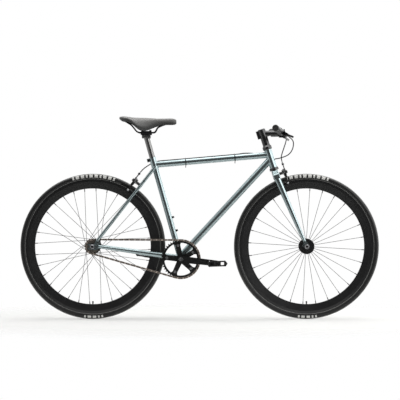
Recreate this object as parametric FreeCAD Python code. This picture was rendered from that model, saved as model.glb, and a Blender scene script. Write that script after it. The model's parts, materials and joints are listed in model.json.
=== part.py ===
import FreeCAD, Part
import math
import os
from FreeCAD import Placement, Rotation, Vector

# Fixed gear bicycle. Sizes in millimetres and degrees.
# X points forward, Y to the rider's left and Z up, with the drive side at negative Y.
# The origin lies on the ground, midway between the two axles.

# Wheels
bead_seat_diameter = 622.0
tyre_height = 28.0
tyre_wall = 2.8
tread_thickness = 3.4
bead_width = 3.2
rim_width = 22.0
rim_depth = 46.0
rim_lip = 5.2
rim_side_wall = 2.0
rim_skin = 1.6
brake_track_height = 14.0
rim_tip_width = 8.0
tube_wall = 1.2
valve_radius = 3.0
valve_past_rim = 14.0
spoke_radius = 1.0
spoke_head_radius = 1.3
spoke_hole_play = 0.15
nipple_radius = 2.0
nipple_length = 12.0
spoke_seat_gap = 0.3
front_spoke_count = 28
front_first_spoke = -3.5
rear_spoke_count = 32
rear_first_spoke = -3.0
rear_crossings = 3
flange_radius = 36.0
spoke_circle_radius = 31.5
flange_thickness = 3.5
hub_barrel_radius = 15.0
front_flange_spread = 64.0
rear_flange_spread = 62.0
hub_boss_step = 5.0
front_hub_width = 78.0
rear_hub_left_end = 41.0
bearing_outer_radius = 13.0
bearing_width = 8.0
bearing_shoulder = 2.0
front_axle_radius = 4.5
rear_axle_radius = 5.0
running_clearance = 0.05
end_float = 0.3
front_over_locknuts = 100.0
rear_over_locknuts = 120.0
axle_spacer_radius = 8.5
axle_washer_radius = 13.0
axle_washer_thickness = 2.0
axle_nut_across_flats = 17.0
axle_nut_height = 8.0
axle_stub_length = 5.0
axle_stub_step = 0.5

# Drive
chain_pitch = 12.7
chainring_teeth = 44
cog_teeth = 16
chain_line = 43.0
roller_radius = 3.875
roller_play = 0.08
tooth_height = 2.7
tooth_tip_width = 1.8
tooth_thickness = 2.8
chain_inner_width = 3.4
chain_plate_thickness = 1.0
chain_plate_gap = 0.15
chain_plate_height = 8.4
chain_pin_radius = 1.8
chain_pin_play = 0.1
chainring_band = 13.0
chainring_bolt_circle = 130.0
spider_arms = 5
chainring_bolt_radius = 5.0
chainring_bolt_head_radius = 6.5
chainring_bolt_head = 1.6
chainring_bolt_key = 5.0
spider_tab_radius = 11.0
spider_root_radius = 13.0
chainring_flare = 13.0
chainring_flare_round = 16.0
spider_thickness = 6.0
crank_length = 170.0
crank_angle = -6.4
crank_boss_radius = 17.0
crank_eye_radius = 13.0
crank_arm_thickness = 13.0
crank_arm_face = 71.0
crank_boss_inner = 40.0
crank_boss_outer = 67.0
crank_bolt_recess = 7.0
crank_bolt_radius = 10.0
crank_bolt_thickness = 4.5
crank_bolt_key = 8.0
spindle_radius = 8.5
spindle_square = 13.2
spindle_square_end = 12.0
spindle_square_length = 20.0
bottom_bracket_width = 68.0
bottom_bracket_radius = 20.0
bottom_bracket_wall = 2.6
cup_flange = 2.5
pedal_thread_radius = 7.0
pedal_collar_radius = 8.5
pedal_collar_length = 3.0
pedal_pin_radius = 4.5
pedal_width = 86.0
pedal_length = 96.0
pedal_height = 24.0
pedal_end_slant = 9.0
pedal_side_wall = 9.0
pedal_rail = 7.0
pedal_barrel_radius = 9.5
pedal_side_gap = 1.0
pedal_window_rim = 4.0
pedal_window_round = 3.0
right_pedal_tilt = 2.0
left_pedal_tilt = -7.7
lockring_radius = 21.0
lockring_thickness = 4.0
lockring_notches = 4
lockring_notch_radius = 2.5
hub_thread_radius = 17.4
lockring_thread_radius = 16.6

# Frame
bottom_bracket_drop = 59.0
front_centre = 587.0
crank_over_tyre = 72.0
seat_angle = 74.3
head_angle = 72.0
fork_rake = 32.0
crown_over_tyre = 3.0
lower_cup_height = 13.0
head_tube_length = 88.0
head_tube_radius = 18.0
head_tube_wall = 1.5
top_tube_radius = 14.3
top_tube_wall = 1.0
top_tube_below_top = 35.0
top_tube_head_joint = 63.0
down_tube_radius = 15.9
down_tube_wall = 1.0
down_tube_head_joint = 43.0
down_tube_offset = 8.0
seat_tube_radius = 14.3
seat_tube_length = 492.0
seat_tube_bore_depth = 380.0
seat_tube_wall = 0.9
seat_sleeve_radius = 16.0
seat_sleeve_length = 64.0
binder_ear_depth = 12.0
binder_ear_height = 16.0
binder_ear_thickness = 7.0
binder_slot = 2.0
binder_bolt_radius = 3.0
binder_head_radius = 5.0
binder_head_height = 4.0
chainstay_root_height = 27.0
chainstay_root_width = 15.5
chainstay_tip_radius = 7.5
chainstay_root_side = 18.0
chainstay_root_rise = 4.0
stay_wall = 1.0
seatstay_radius = 7.3
seatstay_tip_radius = 6.2
seatstay_below_top = 46.0
seatstay_top_side = 14.0
bridge_radius = 6.0
bridge_boss = 2.0
chainstay_bridge_reach = 55.0
dropout_thickness = 6.0
dropout_slot_play = 0.1
dropout_slot_front = 7.0
dropout_tail = 22.0
dropout_half_height = 13.0
dropout_nose = 36.0
dropout_horn = 31.0
eyelet_radius = 2.6
eyelet_rim_radius = 5.5
bottle_bolt_heights = (134.0, 198.0)
bottle_boss_radius = 5.5
bottle_boss_height = 3.0
bottle_bolt_radius = 4.4
bottle_bolt_head = 4.5
eyelet_screw_reach = 428.0
eyelet_screw_radius = 4.0
eyelet_screw_head = 3.0

# Fork and headset
steerer_radius = 14.3
steerer_wall = 1.8
cup_radius = 22.0
cup_skirt = 9.0
cup_skirt_wall = 1.5
headset_bearing_height = 7.0
crown_top_half_width = 17.0
crown_shoulder_drop = 16.0
crown_height = 42.0
crown_depth = 31.0
crown_half_width = 45.0
crown_edge_round = 4.0
blade_root_side = 35.0
blade_root_depth = 29.0
blade_root_width = 18.0
blade_tip_radius = 6.5
blade_wall = 1.2
fork_tip_reach = 27.0
fork_tip_thickness = 5.0
fork_tip_radius = 13.0
upper_cup_height = 11.0
headset_cover_height = 10.0
spacer_count = 4
spacer_height = 9.5
spacer_radius = 17.0
top_cap_height = 4.0

# Stem, bar and grips
stem_clamp_height = 38.0
stem_clamp_radius = 18.5
stem_angle = -17.0
stem_extension = 88.0
stem_tube_radius = 15.0
bar_clamp_width = 44.0
bar_clamp_wall = 6.5
faceplate_gap = 2.0
faceplate_bolt_side = 15.0
stem_bolt_radius = 2.5
stem_bolt_head_radius = 4.2
stem_bolt_head = 4.0
pinch_ear_depth = 10.0
pinch_ear_thickness = 8.0
pinch_slot = 2.0
bar_centre_radius = 12.7
bar_radius = 11.1
bar_wall = 1.8
bar_half_width = 280.0
bar_bulge_half = 32.0
bar_taper = 12.0
bar_bend_side = 62.0
bar_back_sweep = 9.8
bar_up_sweep = 4.4
bar_bend_radius = 70.0
grip_length = 128.0
grip_radius = 15.2
grip_collar_radius = 17.0
grip_collar_width = 5.0
grip_end_thickness = 3.0

# Brakes
lever_setback = 148.0
lever_tilt = 27.0
lever_clamp_radius = 16.0
lever_clamp_width = 14.0
lever_pivot_reach = 31.0
lever_pivot_radius = 2.5
lever_bracket_half_height = 8.5
lever_bracket_inboard = 24.0
lever_slot_half = 4.6
lever_half_thickness = 4.2
lever_root_radius = 8.0
lever_length = 104.0
lever_tip_reach = 52.0
lever_blade_width = 11.0
lever_adjuster_radius = 4.5
lever_adjuster_length = 16.0
brake_reach = 52.0
pad_clearance = 2.0
pad_thickness = 7.0
pad_holder_thickness = 3.0
pad_length = 46.0
pad_height = 10.0
pad_drop_from_edge = 7.0
caliper_plate = 6.5
caliper_gap = 0.8
caliper_standoff = 21.0
caliper_pad_depth = 43.0
caliper_bracket = 6.0
caliper_spacer_radius = 7.0
caliper_hub_radius = 9.0
caliper_side_pivot = 20.0
caliper_side_rise = 6.0
caliper_limb_reach = 42.0
caliper_end_side = 30.0
caliper_bolt_radius = 3.0
caliper_bolt_play = 0.1
caliper_nut_radius = 7.0
caliper_nut_height = 5.0
caliper_sleeve_radius = 5.0
pad_stud_radius = 2.5
adjuster_side = 26.0
adjuster_rise = 8.0
adjuster_stem_radius = 2.6
adjuster_stem_length = 26.0
adjuster_knob_radius = 5.0
adjuster_knob_length = 9.0
adjuster_bore = 1.0
adjuster_boss_radius = 4.2
adjuster_boss_length = 10.0
anchor_drop = 14.0
anchor_radius = 4.5
wire_tail = 12.0
cable_wire_radius = 0.8
housing_radius = 2.5
housing_gap = 0.4
housing_seat_gap = 0.1

# Seat
seatpost_radius = 13.6
seatpost_wall = 2.4
seatpost_length = 300.0
seatpost_exposed = 104.0
seatpost_slip = 0.05
saddle_length = 269.0
saddle_setback = 126.43
seatpost_head_rise = 16.24
saddle_cover_thickness = 7.0
saddle_shell_thickness = 2.5
saddle_fit_gap = 0.3
saddle_skirt_room = 25.0
socket_depth = 34.0
nose_socket = (0.80, 0.90)
tail_socket = (0.07, 0.13)
rail_radius = 3.5
rail_half_gauge = 22.0
rail_drop = 68.0
rail_bend_room = 15.0
rail_nose_side = 4.5
clamp_length = 52.0
clamp_plate_thickness = 7.0
clamp_half_width = 29.0
clamp_bolt_radius = 3.0
clamp_bolt_spread = 19.0
clamp_bolt_head_radius = 5.5
clamp_bolt_head = 5.0

# Cables
tie_positions = (165.0, -65.0)
tie_width = 4.5
tie_thickness = 1.2
tie_tail_length = 26.0
cable_lean = 20.0

# Directions and places that follow from the sizes above
SIDE = Vector(0, 1, 0)
ORIGIN = Vector(0, 0, 0)
wheel_radius = bead_seat_diameter / 2 + tyre_height


def turned(angle):
    """The unit vector in the side view at an angle from forward towards up."""
    return Vector(math.cos(math.radians(angle)), 0, math.sin(math.radians(angle)))


def pitch_radius(teeth):
    return chain_pitch / (2 * math.sin(math.pi / teeth))


def chain_lean(centre_distance):
    return math.asin((pitch_radius(chainring_teeth) - pitch_radius(cog_teeth)) / centre_distance)


def chain_length(centre_distance):
    """Length of the chain's pitch line round both sprockets at a centre distance."""
    lean = chain_lean(centre_distance)
    runs = 2 * centre_distance * math.cos(lean)
    round_ring = chain_pitch * chainring_teeth * (math.pi + 2 * lean) / (2 * math.pi)
    round_cog = chain_pitch * cog_teeth * (math.pi - 2 * lean) / (2 * math.pi)
    return runs + round_ring + round_cog


def centre_distance_for(links):
    """Centre distance at which a chain of so many links closes tight."""
    low = pitch_radius(chainring_teeth)
    high = links * chain_pitch
    for _ in range(80):
        middle = (low + high) / 2
        if chain_length(middle) < links * chain_pitch:
            low = middle
        else:
            high = middle
    return low


# The chain is the shortest even number of links that keeps the rear tyre clear of the crank's axis.
chain_links = 2 * math.ceil(chain_length(wheel_radius + crank_over_tyre) / (2 * chain_pitch))
chainstay_length = centre_distance_for(chain_links)
rear_reach = math.sqrt(chainstay_length ** 2 - bottom_bracket_drop ** 2)
wheelbase = rear_reach + front_centre
REAR_AXLE = Vector(-wheelbase / 2, 0, wheel_radius)
FRONT_AXLE = Vector(wheelbase / 2, 0, wheel_radius)
CRANK = Vector(REAR_AXLE.x + rear_reach, 0, wheel_radius - bottom_bracket_drop)
STEER_UP = turned(180 - head_angle)
STEER_FORWARD = turned(90 - head_angle)
SEAT_UP = turned(180 - seat_angle)
SEAT_FORWARD = turned(90 - seat_angle)
fork_length = wheel_radius + crown_over_tyre + crown_height
head_bottom = fork_length + lower_cup_height
head_top = head_bottom + head_tube_length
spacer_bottom = head_top + upper_cup_height + headset_cover_height
stem_bottom = spacer_bottom + spacer_count * spacer_height
stem_top = stem_bottom + stem_clamp_height


def steer(up, forward=0.0, side=0.0):
    """A point on or beside the steering axis; up is measured from the foot of the axle."""
    foot = FRONT_AXLE - STEER_FORWARD * fork_rake
    return foot + STEER_UP * up + STEER_FORWARD * forward + SIDE * side


def seat(up, forward=0.0, side=0.0):
    """A point on or beside the seat tube's axis; up is measured from the bottom bracket."""
    return CRANK + SEAT_UP * up + SEAT_FORWARD * forward + SIDE * side


# Shape helpers

def frame_at(origin, x_axis, z_axis):
    """The placement that puts a shape's local X and Z along two directions."""
    return Placement(origin, Rotation(x_axis, z_axis.cross(x_axis), z_axis, "ZXY"))


def put(shape, placement):
    moved = shape.copy()
    moved.Placement = placement.multiply(shape.Placement)
    return moved


def mirrored(shape):
    """The same piece on the other side of the bicycle."""
    return shape.mirror(ORIGIN, SIDE)


def both_sides(shape):
    return [shape, mirrored(shape)]


def spun(shape, centre, angle, axis=SIDE):
    moved = shape.copy()
    moved.rotate(centre, axis, angle)
    return moved


def rod(start, end, radius):
    along = end - start
    return Part.makeCylinder(radius, along.Length, start, along)


def pipe(start, end, radius, wall):
    return rod(start, end, radius).cut(rod(start, end, radius - wall))


def disc(centre, y_from, y_to, radius):
    """A cylinder across the bicycle, round an axis through a point of the side view."""
    start = Vector(centre.x, y_from, centre.z)
    return rod(start, Vector(centre.x, y_to, centre.z), radius)


def ring(centre, y_from, y_to, radius, bore):
    return disc(centre, y_from, y_to, radius).cut(disc(centre, y_from, y_to, bore))


def revolved(profile, start, axis):
    """A turned piece from a closed profile of (radius, height) points."""
    points = [Vector(radius, 0, height) for radius, height in profile]
    face = Part.Face(Part.makePolygon(points + points[:1]))
    solid = face.revolve(ORIGIN, Vector(0, 0, 1), 360)
    across = SIDE if abs(axis.dot(SIDE)) < 0.5 else Vector(1, 0, 0)
    return put(solid, frame_at(start, across, axis))


def outline(corners):
    """A closed wire in the local XY plane through (x, y, corner radius) points."""
    points = [Vector(x, y, 0) for x, y, _ in corners]
    stretches = []
    for index, (_, _, radius) in enumerate(corners):
        corner = points[index]
        back = (points[index - 1] - corner).normalize()
        ahead = (points[(index + 1) % len(points)] - corner).normalize()
        half = back.getAngle(ahead) / 2
        reach = radius / math.tan(half)
        bisector = (back + ahead).normalize()
        middle = corner + bisector * (radius / math.sin(half) - radius)
        stretches.append((corner + back * reach, middle, corner + ahead * reach, radius))
    edges = []
    for index, (start, middle, end, radius) in enumerate(stretches):
        if radius:
            edges.append(Part.Arc(start, middle, end).toShape())
        following = stretches[(index + 1) % len(stretches)][0]
        if (following - end).Length > 1e-6:
            edges.append(Part.LineSegment(end, following).toShape())
    return Part.Wire(edges)


def belt(span, first_radius, second_radius):
    """A closed wire round a circle at the local origin and another along X."""
    lean = math.asin((first_radius - second_radius) / span)
    tangent = Vector(math.sin(lean), math.cos(lean), 0)
    lower = Vector(tangent.x, -tangent.y, 0)
    far = Vector(span, 0, 0)
    edges = [
        Part.LineSegment(tangent * first_radius, far + tangent * second_radius).toShape(),
        Part.Arc(far + tangent * second_radius, far + Vector(second_radius, 0, 0), far + lower * second_radius)
        .toShape(),
        Part.LineSegment(far + lower * second_radius, lower * first_radius).toShape(),
        Part.Arc(lower * first_radius, Vector(-first_radius, 0, 0), tangent * first_radius).toShape(),
    ]
    return Part.Wire(edges)


def largest(shape):
    return max(shape.Solids, key=lambda solid: solid.Volume)


def plate(wire, thickness):
    return Part.Face(wire).extrude(Vector(0, 0, thickness))


def side_plate(wire, centre, y_from, y_to, angle=0.0):
    """A plate drawn in the side view: local X points at the angle, local Y up from it."""
    flat = plate(wire, y_to - y_from)
    start = Vector(centre.x, y_to, centre.z)
    return put(flat, frame_at(start, turned(angle), SIDE * -1))


def loft(wires, ruled=False):
    return Part.makeLoft(wires, True, ruled)


def oval(centre, along, across, half_along, half_across):
    """An elliptical section with two half-axes along given directions."""
    if half_along < half_across:
        along, across = across, along
        half_along, half_across = half_across, half_along
    curve = Part.Ellipse(centre + along * half_along, centre + across * half_across, centre)
    return Part.Wire(curve.toShape())


def route(points, share=0.45):
    """A wire of straight runs joined by tangent arcs, as large as the runs allow."""
    edges = []
    here = points[0]
    for index in range(1, len(points) - 1):
        corner = points[index]
        back = points[index - 1] - corner
        ahead = points[index + 1] - corner
        reach = share * min(back.Length, ahead.Length)
        back.normalize()
        ahead.normalize()
        half = back.getAngle(ahead) / 2
        radius = reach * math.tan(half)
        middle = corner + (back + ahead).normalize() * (radius / math.sin(half) - radius)
        edges.append(Part.LineSegment(here, corner + back * reach).toShape())
        edges.append(Part.Arc(corner + back * reach, middle, corner + ahead * reach).toShape())
        here = corner + ahead * reach
    edges.append(Part.LineSegment(here, points[-1]).toShape())
    return Part.Wire(edges)


def swept(path, radius):
    """A round bar along a wire that starts with a straight run."""
    first = path.OrderedEdges[0]
    start = first.valueAt(first.FirstParameter)
    along = first.tangentAt(first.FirstParameter)
    section = Part.Wire(Part.Circle(start, along, radius).toShape())
    return path.makePipeShell([section], True, False)


def cord(points, radius):
    """A cable housing along a route."""
    return swept(route(points), radius)


def joined(shapes):
    return shapes[0].fuse(shapes[1:]).removeSplitter()


# Wheels

def rim_edge_radius():
    return bead_seat_diameter / 2 + rim_lip


def rim_tip_radius():
    return rim_edge_radius() - rim_depth


def ring_of_revolution(wire, axle):
    """A ring swept round an axle from a closed section drawn in (Y, Z) about the axle."""
    face = Part.Face(wire)
    solid = face.revolve(ORIGIN, SIDE, 360)
    solid.translate(axle)
    return solid


def section_wire(stretches):
    """A closed section from points and three-point arcs given as (side, radius) pairs."""
    edges = []
    for stretch in stretches:
        points = [Vector(0, side, radius) for side, radius in stretch]
        if len(points) == 2:
            edges.append(Part.LineSegment(*points).toShape())
        else:
            edges.append(Part.Arc(*points).toShape())
    return Part.Wire(edges)


def polygon_wire(points):
    corners = [Vector(0, side, radius) for side, radius in points]
    return Part.makePolygon(corners + corners[:1])


def tyre_section():
    neck = rim_width / 2 - rim_side_wall - end_float / 2
    foot = bead_seat_diameter / 2
    shoulder = rim_edge_radius() + end_float / 2
    inner_neck = neck - bead_width
    crown = wheel_radius - tread_thickness
    return section_wire([
        ((neck, foot), (neck, shoulder)),
        ((neck, shoulder), (0, wheel_radius), (-neck, shoulder)),
        ((-neck, shoulder), (-neck, foot)),
        ((-neck, foot), (-inner_neck, foot)),
        ((-inner_neck, foot), (-inner_neck, shoulder)),
        ((-inner_neck, shoulder), (0, crown), (inner_neck, shoulder)),
        ((inner_neck, shoulder), (inner_neck, foot)),
        ((inner_neck, foot), (neck, foot)),
    ])


def tyre_cavity():
    """Radius of the tyre's round cavity and of its middle from the axle."""
    half = rim_width / 2 - rim_side_wall - end_float / 2 - bead_width
    height = wheel_radius - tread_thickness - rim_edge_radius() - end_float / 2
    cavity = (height ** 2 + half ** 2) / (2 * height)
    return cavity, wheel_radius - tread_thickness - cavity


def tyre(axle):
    return [ring_of_revolution(tyre_section(), axle)]


def inner_tube(axle):
    cavity, middle = tyre_cavity()
    outer = cavity - end_float
    torus = Part.makeTorus(middle, outer, axle, SIDE)
    hollow = Part.makeTorus(middle, outer - tube_wall, axle, SIDE)
    foot = axle - Vector(0, 0, middle - outer + tube_wall / 2)
    tip = axle - Vector(0, 0, rim_tip_radius() - valve_past_rim)
    valve = rod(foot, tip, valve_radius)
    cap = rod(tip + Vector(0, 0, -valve_past_rim * 0.6), tip, valve_radius + 0.7)
    return [joined([torus, valve, cap]).cut(hollow)]


def rim(axle):
    half = rim_width / 2
    edge = rim_edge_radius()
    tip = rim_tip_radius()
    bed = bead_seat_diameter / 2
    track = edge - brake_track_height
    outer = [
        (half, edge), (half, track), (rim_tip_width / 2, tip), (-rim_tip_width / 2, tip), (-half, track),
        (-half, edge), (rim_side_wall - half, edge), (rim_side_wall - half, bed),
        (half - rim_side_wall, bed), (half - rim_side_wall, edge),
    ]
    inner_half = half - rim_skin
    inner_tip = rim_tip_width / 2 - rim_skin / 2
    inner = [
        (inner_half, bed - rim_skin), (inner_half, track), (inner_tip, tip + rim_skin),
        (-inner_tip, tip + rim_skin), (-inner_half, track), (-inner_half, bed - rim_skin),
    ]
    body = ring_of_revolution(polygon_wire(outer), axle)
    cavity = ring_of_revolution(polygon_wire(inner), axle)
    valve_hole = rod(axle, axle - Vector(0, 0, wheel_radius), valve_radius + end_float)
    return [body.cut(cavity).cut(valve_hole)]


def spoke(axle, hub_angle, rim_angle, flange_side, outside):
    """One spoke with its elbow in the flange and its nipple at the rim."""
    away = 1 if flange_side > 0 else -1
    face = away * flange_thickness / 2 * (1 if outside else -1)
    hole = turned(hub_angle) * spoke_circle_radius
    flat = turned(rim_angle) * (rim_tip_radius() - spoke_seat_gap) - hole
    slope = abs(flange_side) / flat.Length
    outward = hole.dot(flat) / flat.Length
    over_flange = math.sqrt(outward ** 2 + flange_radius ** 2 - spoke_circle_radius ** 2) - outward
    lift = spoke_radius + spoke_seat_gap + (over_flange * slope if outside else 0)
    start = axle + hole + SIDE * (flange_side + face + math.copysign(lift, face))
    end = axle + hole + flat
    along = (end - start).normalize()
    bend = math.copysign(spoke_head_radius, face)
    head = axle + hole + SIDE * (flange_side - face - bend)
    wire = rod(start, end - along * spoke_radius, spoke_radius)
    elbow = rod(start + SIDE * bend, head, spoke_head_radius)
    nipple = rod(end - along * nipple_length, end - along * nipple_radius * slope, nipple_radius)
    return joined([wire, elbow, nipple])


def front_spokes():
    step = 360.0 / front_spoke_count
    half = front_flange_spread / 2
    pieces = []
    for index in range(front_spoke_count):
        angle = front_first_spoke - index * step
        side = -half if index % 2 == 0 else half
        pieces.append(spoke(FRONT_AXLE, angle, angle, side, True))
    return pieces


def rear_spoke_ends(index):
    """Hub angle, rim angle, flange and face of one of the crossed spokes."""
    step = 360.0 / rear_spoke_count
    rim_angle = rear_first_spoke - index * step
    pulling = index % 4 < 2
    offset = rear_crossings * 2 * step
    hub_angle = rim_angle - offset if pulling else rim_angle + offset
    side = -rear_flange_spread / 2 if index % 2 == 0 else rear_flange_spread / 2
    return hub_angle, rim_angle, side, pulling


def rear_spokes():
    pieces = []
    for index in range(rear_spoke_count):
        pieces.append(spoke(REAR_AXLE, *rear_spoke_ends(index)))
    return pieces


def spoke_holes(axle, ends):
    """Drillings for the elbows: ends are (hub angle, flange side) pairs."""
    holes = []
    for hub_angle, side in ends:
        centre = axle + turned(hub_angle) * spoke_circle_radius
        reach = flange_thickness
        holes.append(disc(centre, side - reach, side + reach, spoke_head_radius + spoke_hole_play))
    return holes


def hub_shell(axle, ends, spread, left_end, right_end):
    """Barrel and two flanges, drilled for spokes and bored for the bearings."""
    half = spread / 2
    body = disc(axle, -right_end, left_end, hub_barrel_radius)
    for side in (-half, half):
        flange = disc(axle, side - flange_thickness / 2, side + flange_thickness / 2, flange_radius)
        boss = disc(axle, side - flange_thickness, side + flange_thickness, hub_barrel_radius + hub_boss_step)
        body = body.fuse([flange, boss])
    return body.removeSplitter().cut(spoke_holes(axle, ends))


def bored_for_bearings(body, axle, left_end, right_end):
    bore = disc(axle, -right_end, left_end, bearing_outer_radius - bearing_shoulder)
    left = disc(axle, left_end - bearing_width, left_end, bearing_outer_radius)
    right = disc(axle, -right_end, bearing_width - right_end, bearing_outer_radius)
    return body.cut([bore, left, right])


def bearings(axle, axle_radius, left_end, right_end):
    bore = axle_radius + running_clearance
    left = ring(axle, left_end - bearing_width, left_end, bearing_outer_radius, bore)
    right = ring(axle, -right_end, bearing_width - right_end, bearing_outer_radius, bore)
    return [left, right]


def front_hub():
    step = 360.0 / front_spoke_count
    half = front_flange_spread / 2
    ends = []
    for index in range(front_spoke_count):
        ends.append((front_first_spoke - index * step, -half if index % 2 == 0 else half))
    end = front_hub_width / 2
    shell = hub_shell(FRONT_AXLE, ends, front_flange_spread, end, end)
    shell = bored_for_bearings(shell, FRONT_AXLE, end, end)
    return [shell] + bearings(FRONT_AXLE, front_axle_radius, end, end)


def cog_outer_face():
    return chain_line + tooth_thickness / 2


def rear_hub_right_end():
    return cog_outer_face() + lockring_thickness


def rear_hub():
    ends = []
    for index in range(rear_spoke_count):
        hub_angle, _, side, _ = rear_spoke_ends(index)
        ends.append((hub_angle, side))
    right_end = rear_hub_right_end()
    shell = hub_shell(REAR_AXLE, ends, rear_flange_spread, rear_hub_left_end, right_end)
    seat_start = chain_line - tooth_thickness / 2
    thread = disc(REAR_AXLE, -cog_outer_face(), -rear_flange_spread / 2, hub_thread_radius)
    shoulder = disc(REAR_AXLE, -seat_start, -rear_flange_spread / 2, hub_barrel_radius + hub_boss_step)
    ring_thread = disc(REAR_AXLE, -right_end, -cog_outer_face(), lockring_thread_radius)
    shell = joined([shell, thread, shoulder, ring_thread])
    shell = bored_for_bearings(shell, REAR_AXLE, rear_hub_left_end, right_end)
    return [shell] + bearings(REAR_AXLE, rear_axle_radius, rear_hub_left_end, right_end)


def axle_set(axle, radius, over_locknuts, left_end, right_end, plate_thickness):
    """Axle rod with the spacers that stand between the bearings and the dropouts."""
    half = over_locknuts / 2
    shoulder = half + plate_thickness + axle_washer_thickness + axle_nut_height
    outer = shoulder + axle_stub_length
    body = disc(axle, -shoulder, shoulder, radius)
    stub = disc(axle, -outer, outer, radius - axle_stub_step)
    left = disc(axle, left_end + end_float, half, axle_spacer_radius)
    right = disc(axle, -half, -right_end - end_float, axle_spacer_radius)
    return [joined([body, stub, left, right])]


def hex_outline(across_flats):
    corner = across_flats / math.sqrt(3)
    points = []
    for index in range(6):
        angle = math.radians(60 * index)
        points.append((corner * math.cos(angle), corner * math.sin(angle), 0))
    return outline(points)


def axle_nuts(axle, radius, over_locknuts, plate_thickness):
    """A flanged nut on each end of an axle, outside the dropouts."""
    start = over_locknuts / 2 + plate_thickness
    washer = start + axle_washer_thickness
    collar = disc(axle, start, washer, axle_washer_radius)
    body = side_plate(hex_outline(axle_nut_across_flats), axle, washer, washer + axle_nut_height)
    dome = Part.makeCone(
        axle_washer_radius, axle_nut_across_flats * 0.42, axle_nut_height + axle_washer_thickness,
        Vector(axle.x, start, axle.z), SIDE)
    nut = joined([collar, body.common(dome)]).cut(disc(axle, start, washer + axle_nut_height, radius))
    return both_sides(nut)


def front_axle():
    end = front_hub_width / 2
    return axle_set(FRONT_AXLE, front_axle_radius, front_over_locknuts, end, end, fork_tip_thickness)


def front_axle_nuts():
    return axle_nuts(FRONT_AXLE, front_axle_radius, front_over_locknuts, fork_tip_thickness)


def rear_axle():
    return axle_set(REAR_AXLE, rear_axle_radius, rear_over_locknuts, rear_hub_left_end,
                    rear_hub_right_end(), dropout_thickness)


def rear_axle_nuts():
    return axle_nuts(REAR_AXLE, rear_axle_radius, rear_over_locknuts, dropout_thickness)


# Drive

def chain_normals():
    """Unit normals of the chain's upper and lower runs, pointing away from the loop."""
    along = (CRANK - REAR_AXLE).normalize()
    up = Vector(-along.z, 0, along.x)
    lean = chain_lean(chainstay_length)
    upper = up * math.cos(lean) - along * math.sin(lean)
    lower = up * -math.cos(lean) - along * math.sin(lean)
    return upper, lower


def chain_point(distance):
    """The pitch point at a distance along the chain from the top of the cog, clockwise."""
    upper, lower = chain_normals()
    ring_pitch = pitch_radius(chainring_teeth)
    cog_pitch = pitch_radius(cog_teeth)
    lean = chain_lean(chainstay_length)
    run = chainstay_length * math.cos(lean)
    ring_turn = math.pi + 2 * lean
    ring_wrap = chain_pitch * chainring_teeth * ring_turn / (2 * math.pi)
    cog_wrap = chain_pitch * cog_teeth * (math.pi - 2 * lean) / (2 * math.pi)
    if distance < run:
        return REAR_AXLE + upper * cog_pitch + (CRANK - REAR_AXLE + upper * (ring_pitch - cog_pitch)) * (
            distance / run)
    distance -= run
    start = math.degrees(math.atan2(upper.z, upper.x))
    if distance < ring_wrap:
        return CRANK + turned(start - math.degrees(ring_turn) * distance / ring_wrap) * ring_pitch
    distance -= ring_wrap
    if distance < run:
        return CRANK + lower * ring_pitch + (REAR_AXLE - CRANK + lower * (cog_pitch - ring_pitch)) * (
            distance / run)
    distance -= run
    start = math.degrees(math.atan2(lower.z, lower.x))
    return REAR_AXLE + turned(start - math.degrees(math.pi - 2 * lean) * distance / cog_wrap) * cog_pitch


def valley_angle(centre, nearest):
    """Angle of the first chain roller that lies in a valley of a sprocket."""
    best = min((chain_point(index * chain_pitch) for index in range(chain_links)),
               key=lambda point: (point - nearest).Length)
    return math.degrees(math.atan2(best.z - centre.z, best.x - centre.x))


def sprocket_wire(teeth, valley):
    """Tooth outline about the local origin, with a valley at the given angle."""
    radius = pitch_radius(teeth)
    groove = roller_radius + roller_play
    tip = radius + tooth_height
    half_tip = math.degrees(tooth_tip_width / 2 / tip)
    step = 360.0 / teeth
    edges = []
    for index in range(teeth):
        angle = valley + index * step
        out = Vector(math.cos(math.radians(angle)), math.sin(math.radians(angle)), 0)
        across = Vector(-out.y, out.x, 0)
        bottom = out * (radius - groove)
        left = out * (radius - groove * 0.5) - across * (groove * math.sqrt(0.75))
        right = out * (radius - groove * 0.5) + across * (groove * math.sqrt(0.75))
        edges.append(Part.Arc(left, bottom, right).toShape())
        first = math.radians(angle + step / 2 - half_tip)
        second = math.radians(angle + step / 2 + half_tip)
        near = Vector(tip * math.cos(first), tip * math.sin(first), 0)
        far = Vector(tip * math.cos(second), tip * math.sin(second), 0)
        following = math.radians(angle + step)
        next_out = Vector(math.cos(following), math.sin(following), 0)
        next_across = Vector(-next_out.y, next_out.x, 0)
        landing = next_out * (radius - groove * 0.5) - next_across * (groove * math.sqrt(0.75))
        edges.append(Part.LineSegment(right, near).toShape())
        edges.append(Part.LineSegment(near, far).toShape())
        edges.append(Part.LineSegment(far, landing).toShape())
    return Part.Wire(edges)


def sprocket_plate(centre, teeth, nearest):
    wire = sprocket_wire(teeth, valley_angle(centre, nearest))
    half = tooth_thickness / 2
    return side_plate(wire, centre, -chain_line - half, -chain_line + half)


def spider_angles():
    step = 360.0 / spider_arms
    return [crank_angle + step / 2 + index * step for index in range(spider_arms)]


def bolt_centres():
    return [CRANK + turned(angle) * (chainring_bolt_circle / 2) for angle in spider_angles()]


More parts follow.
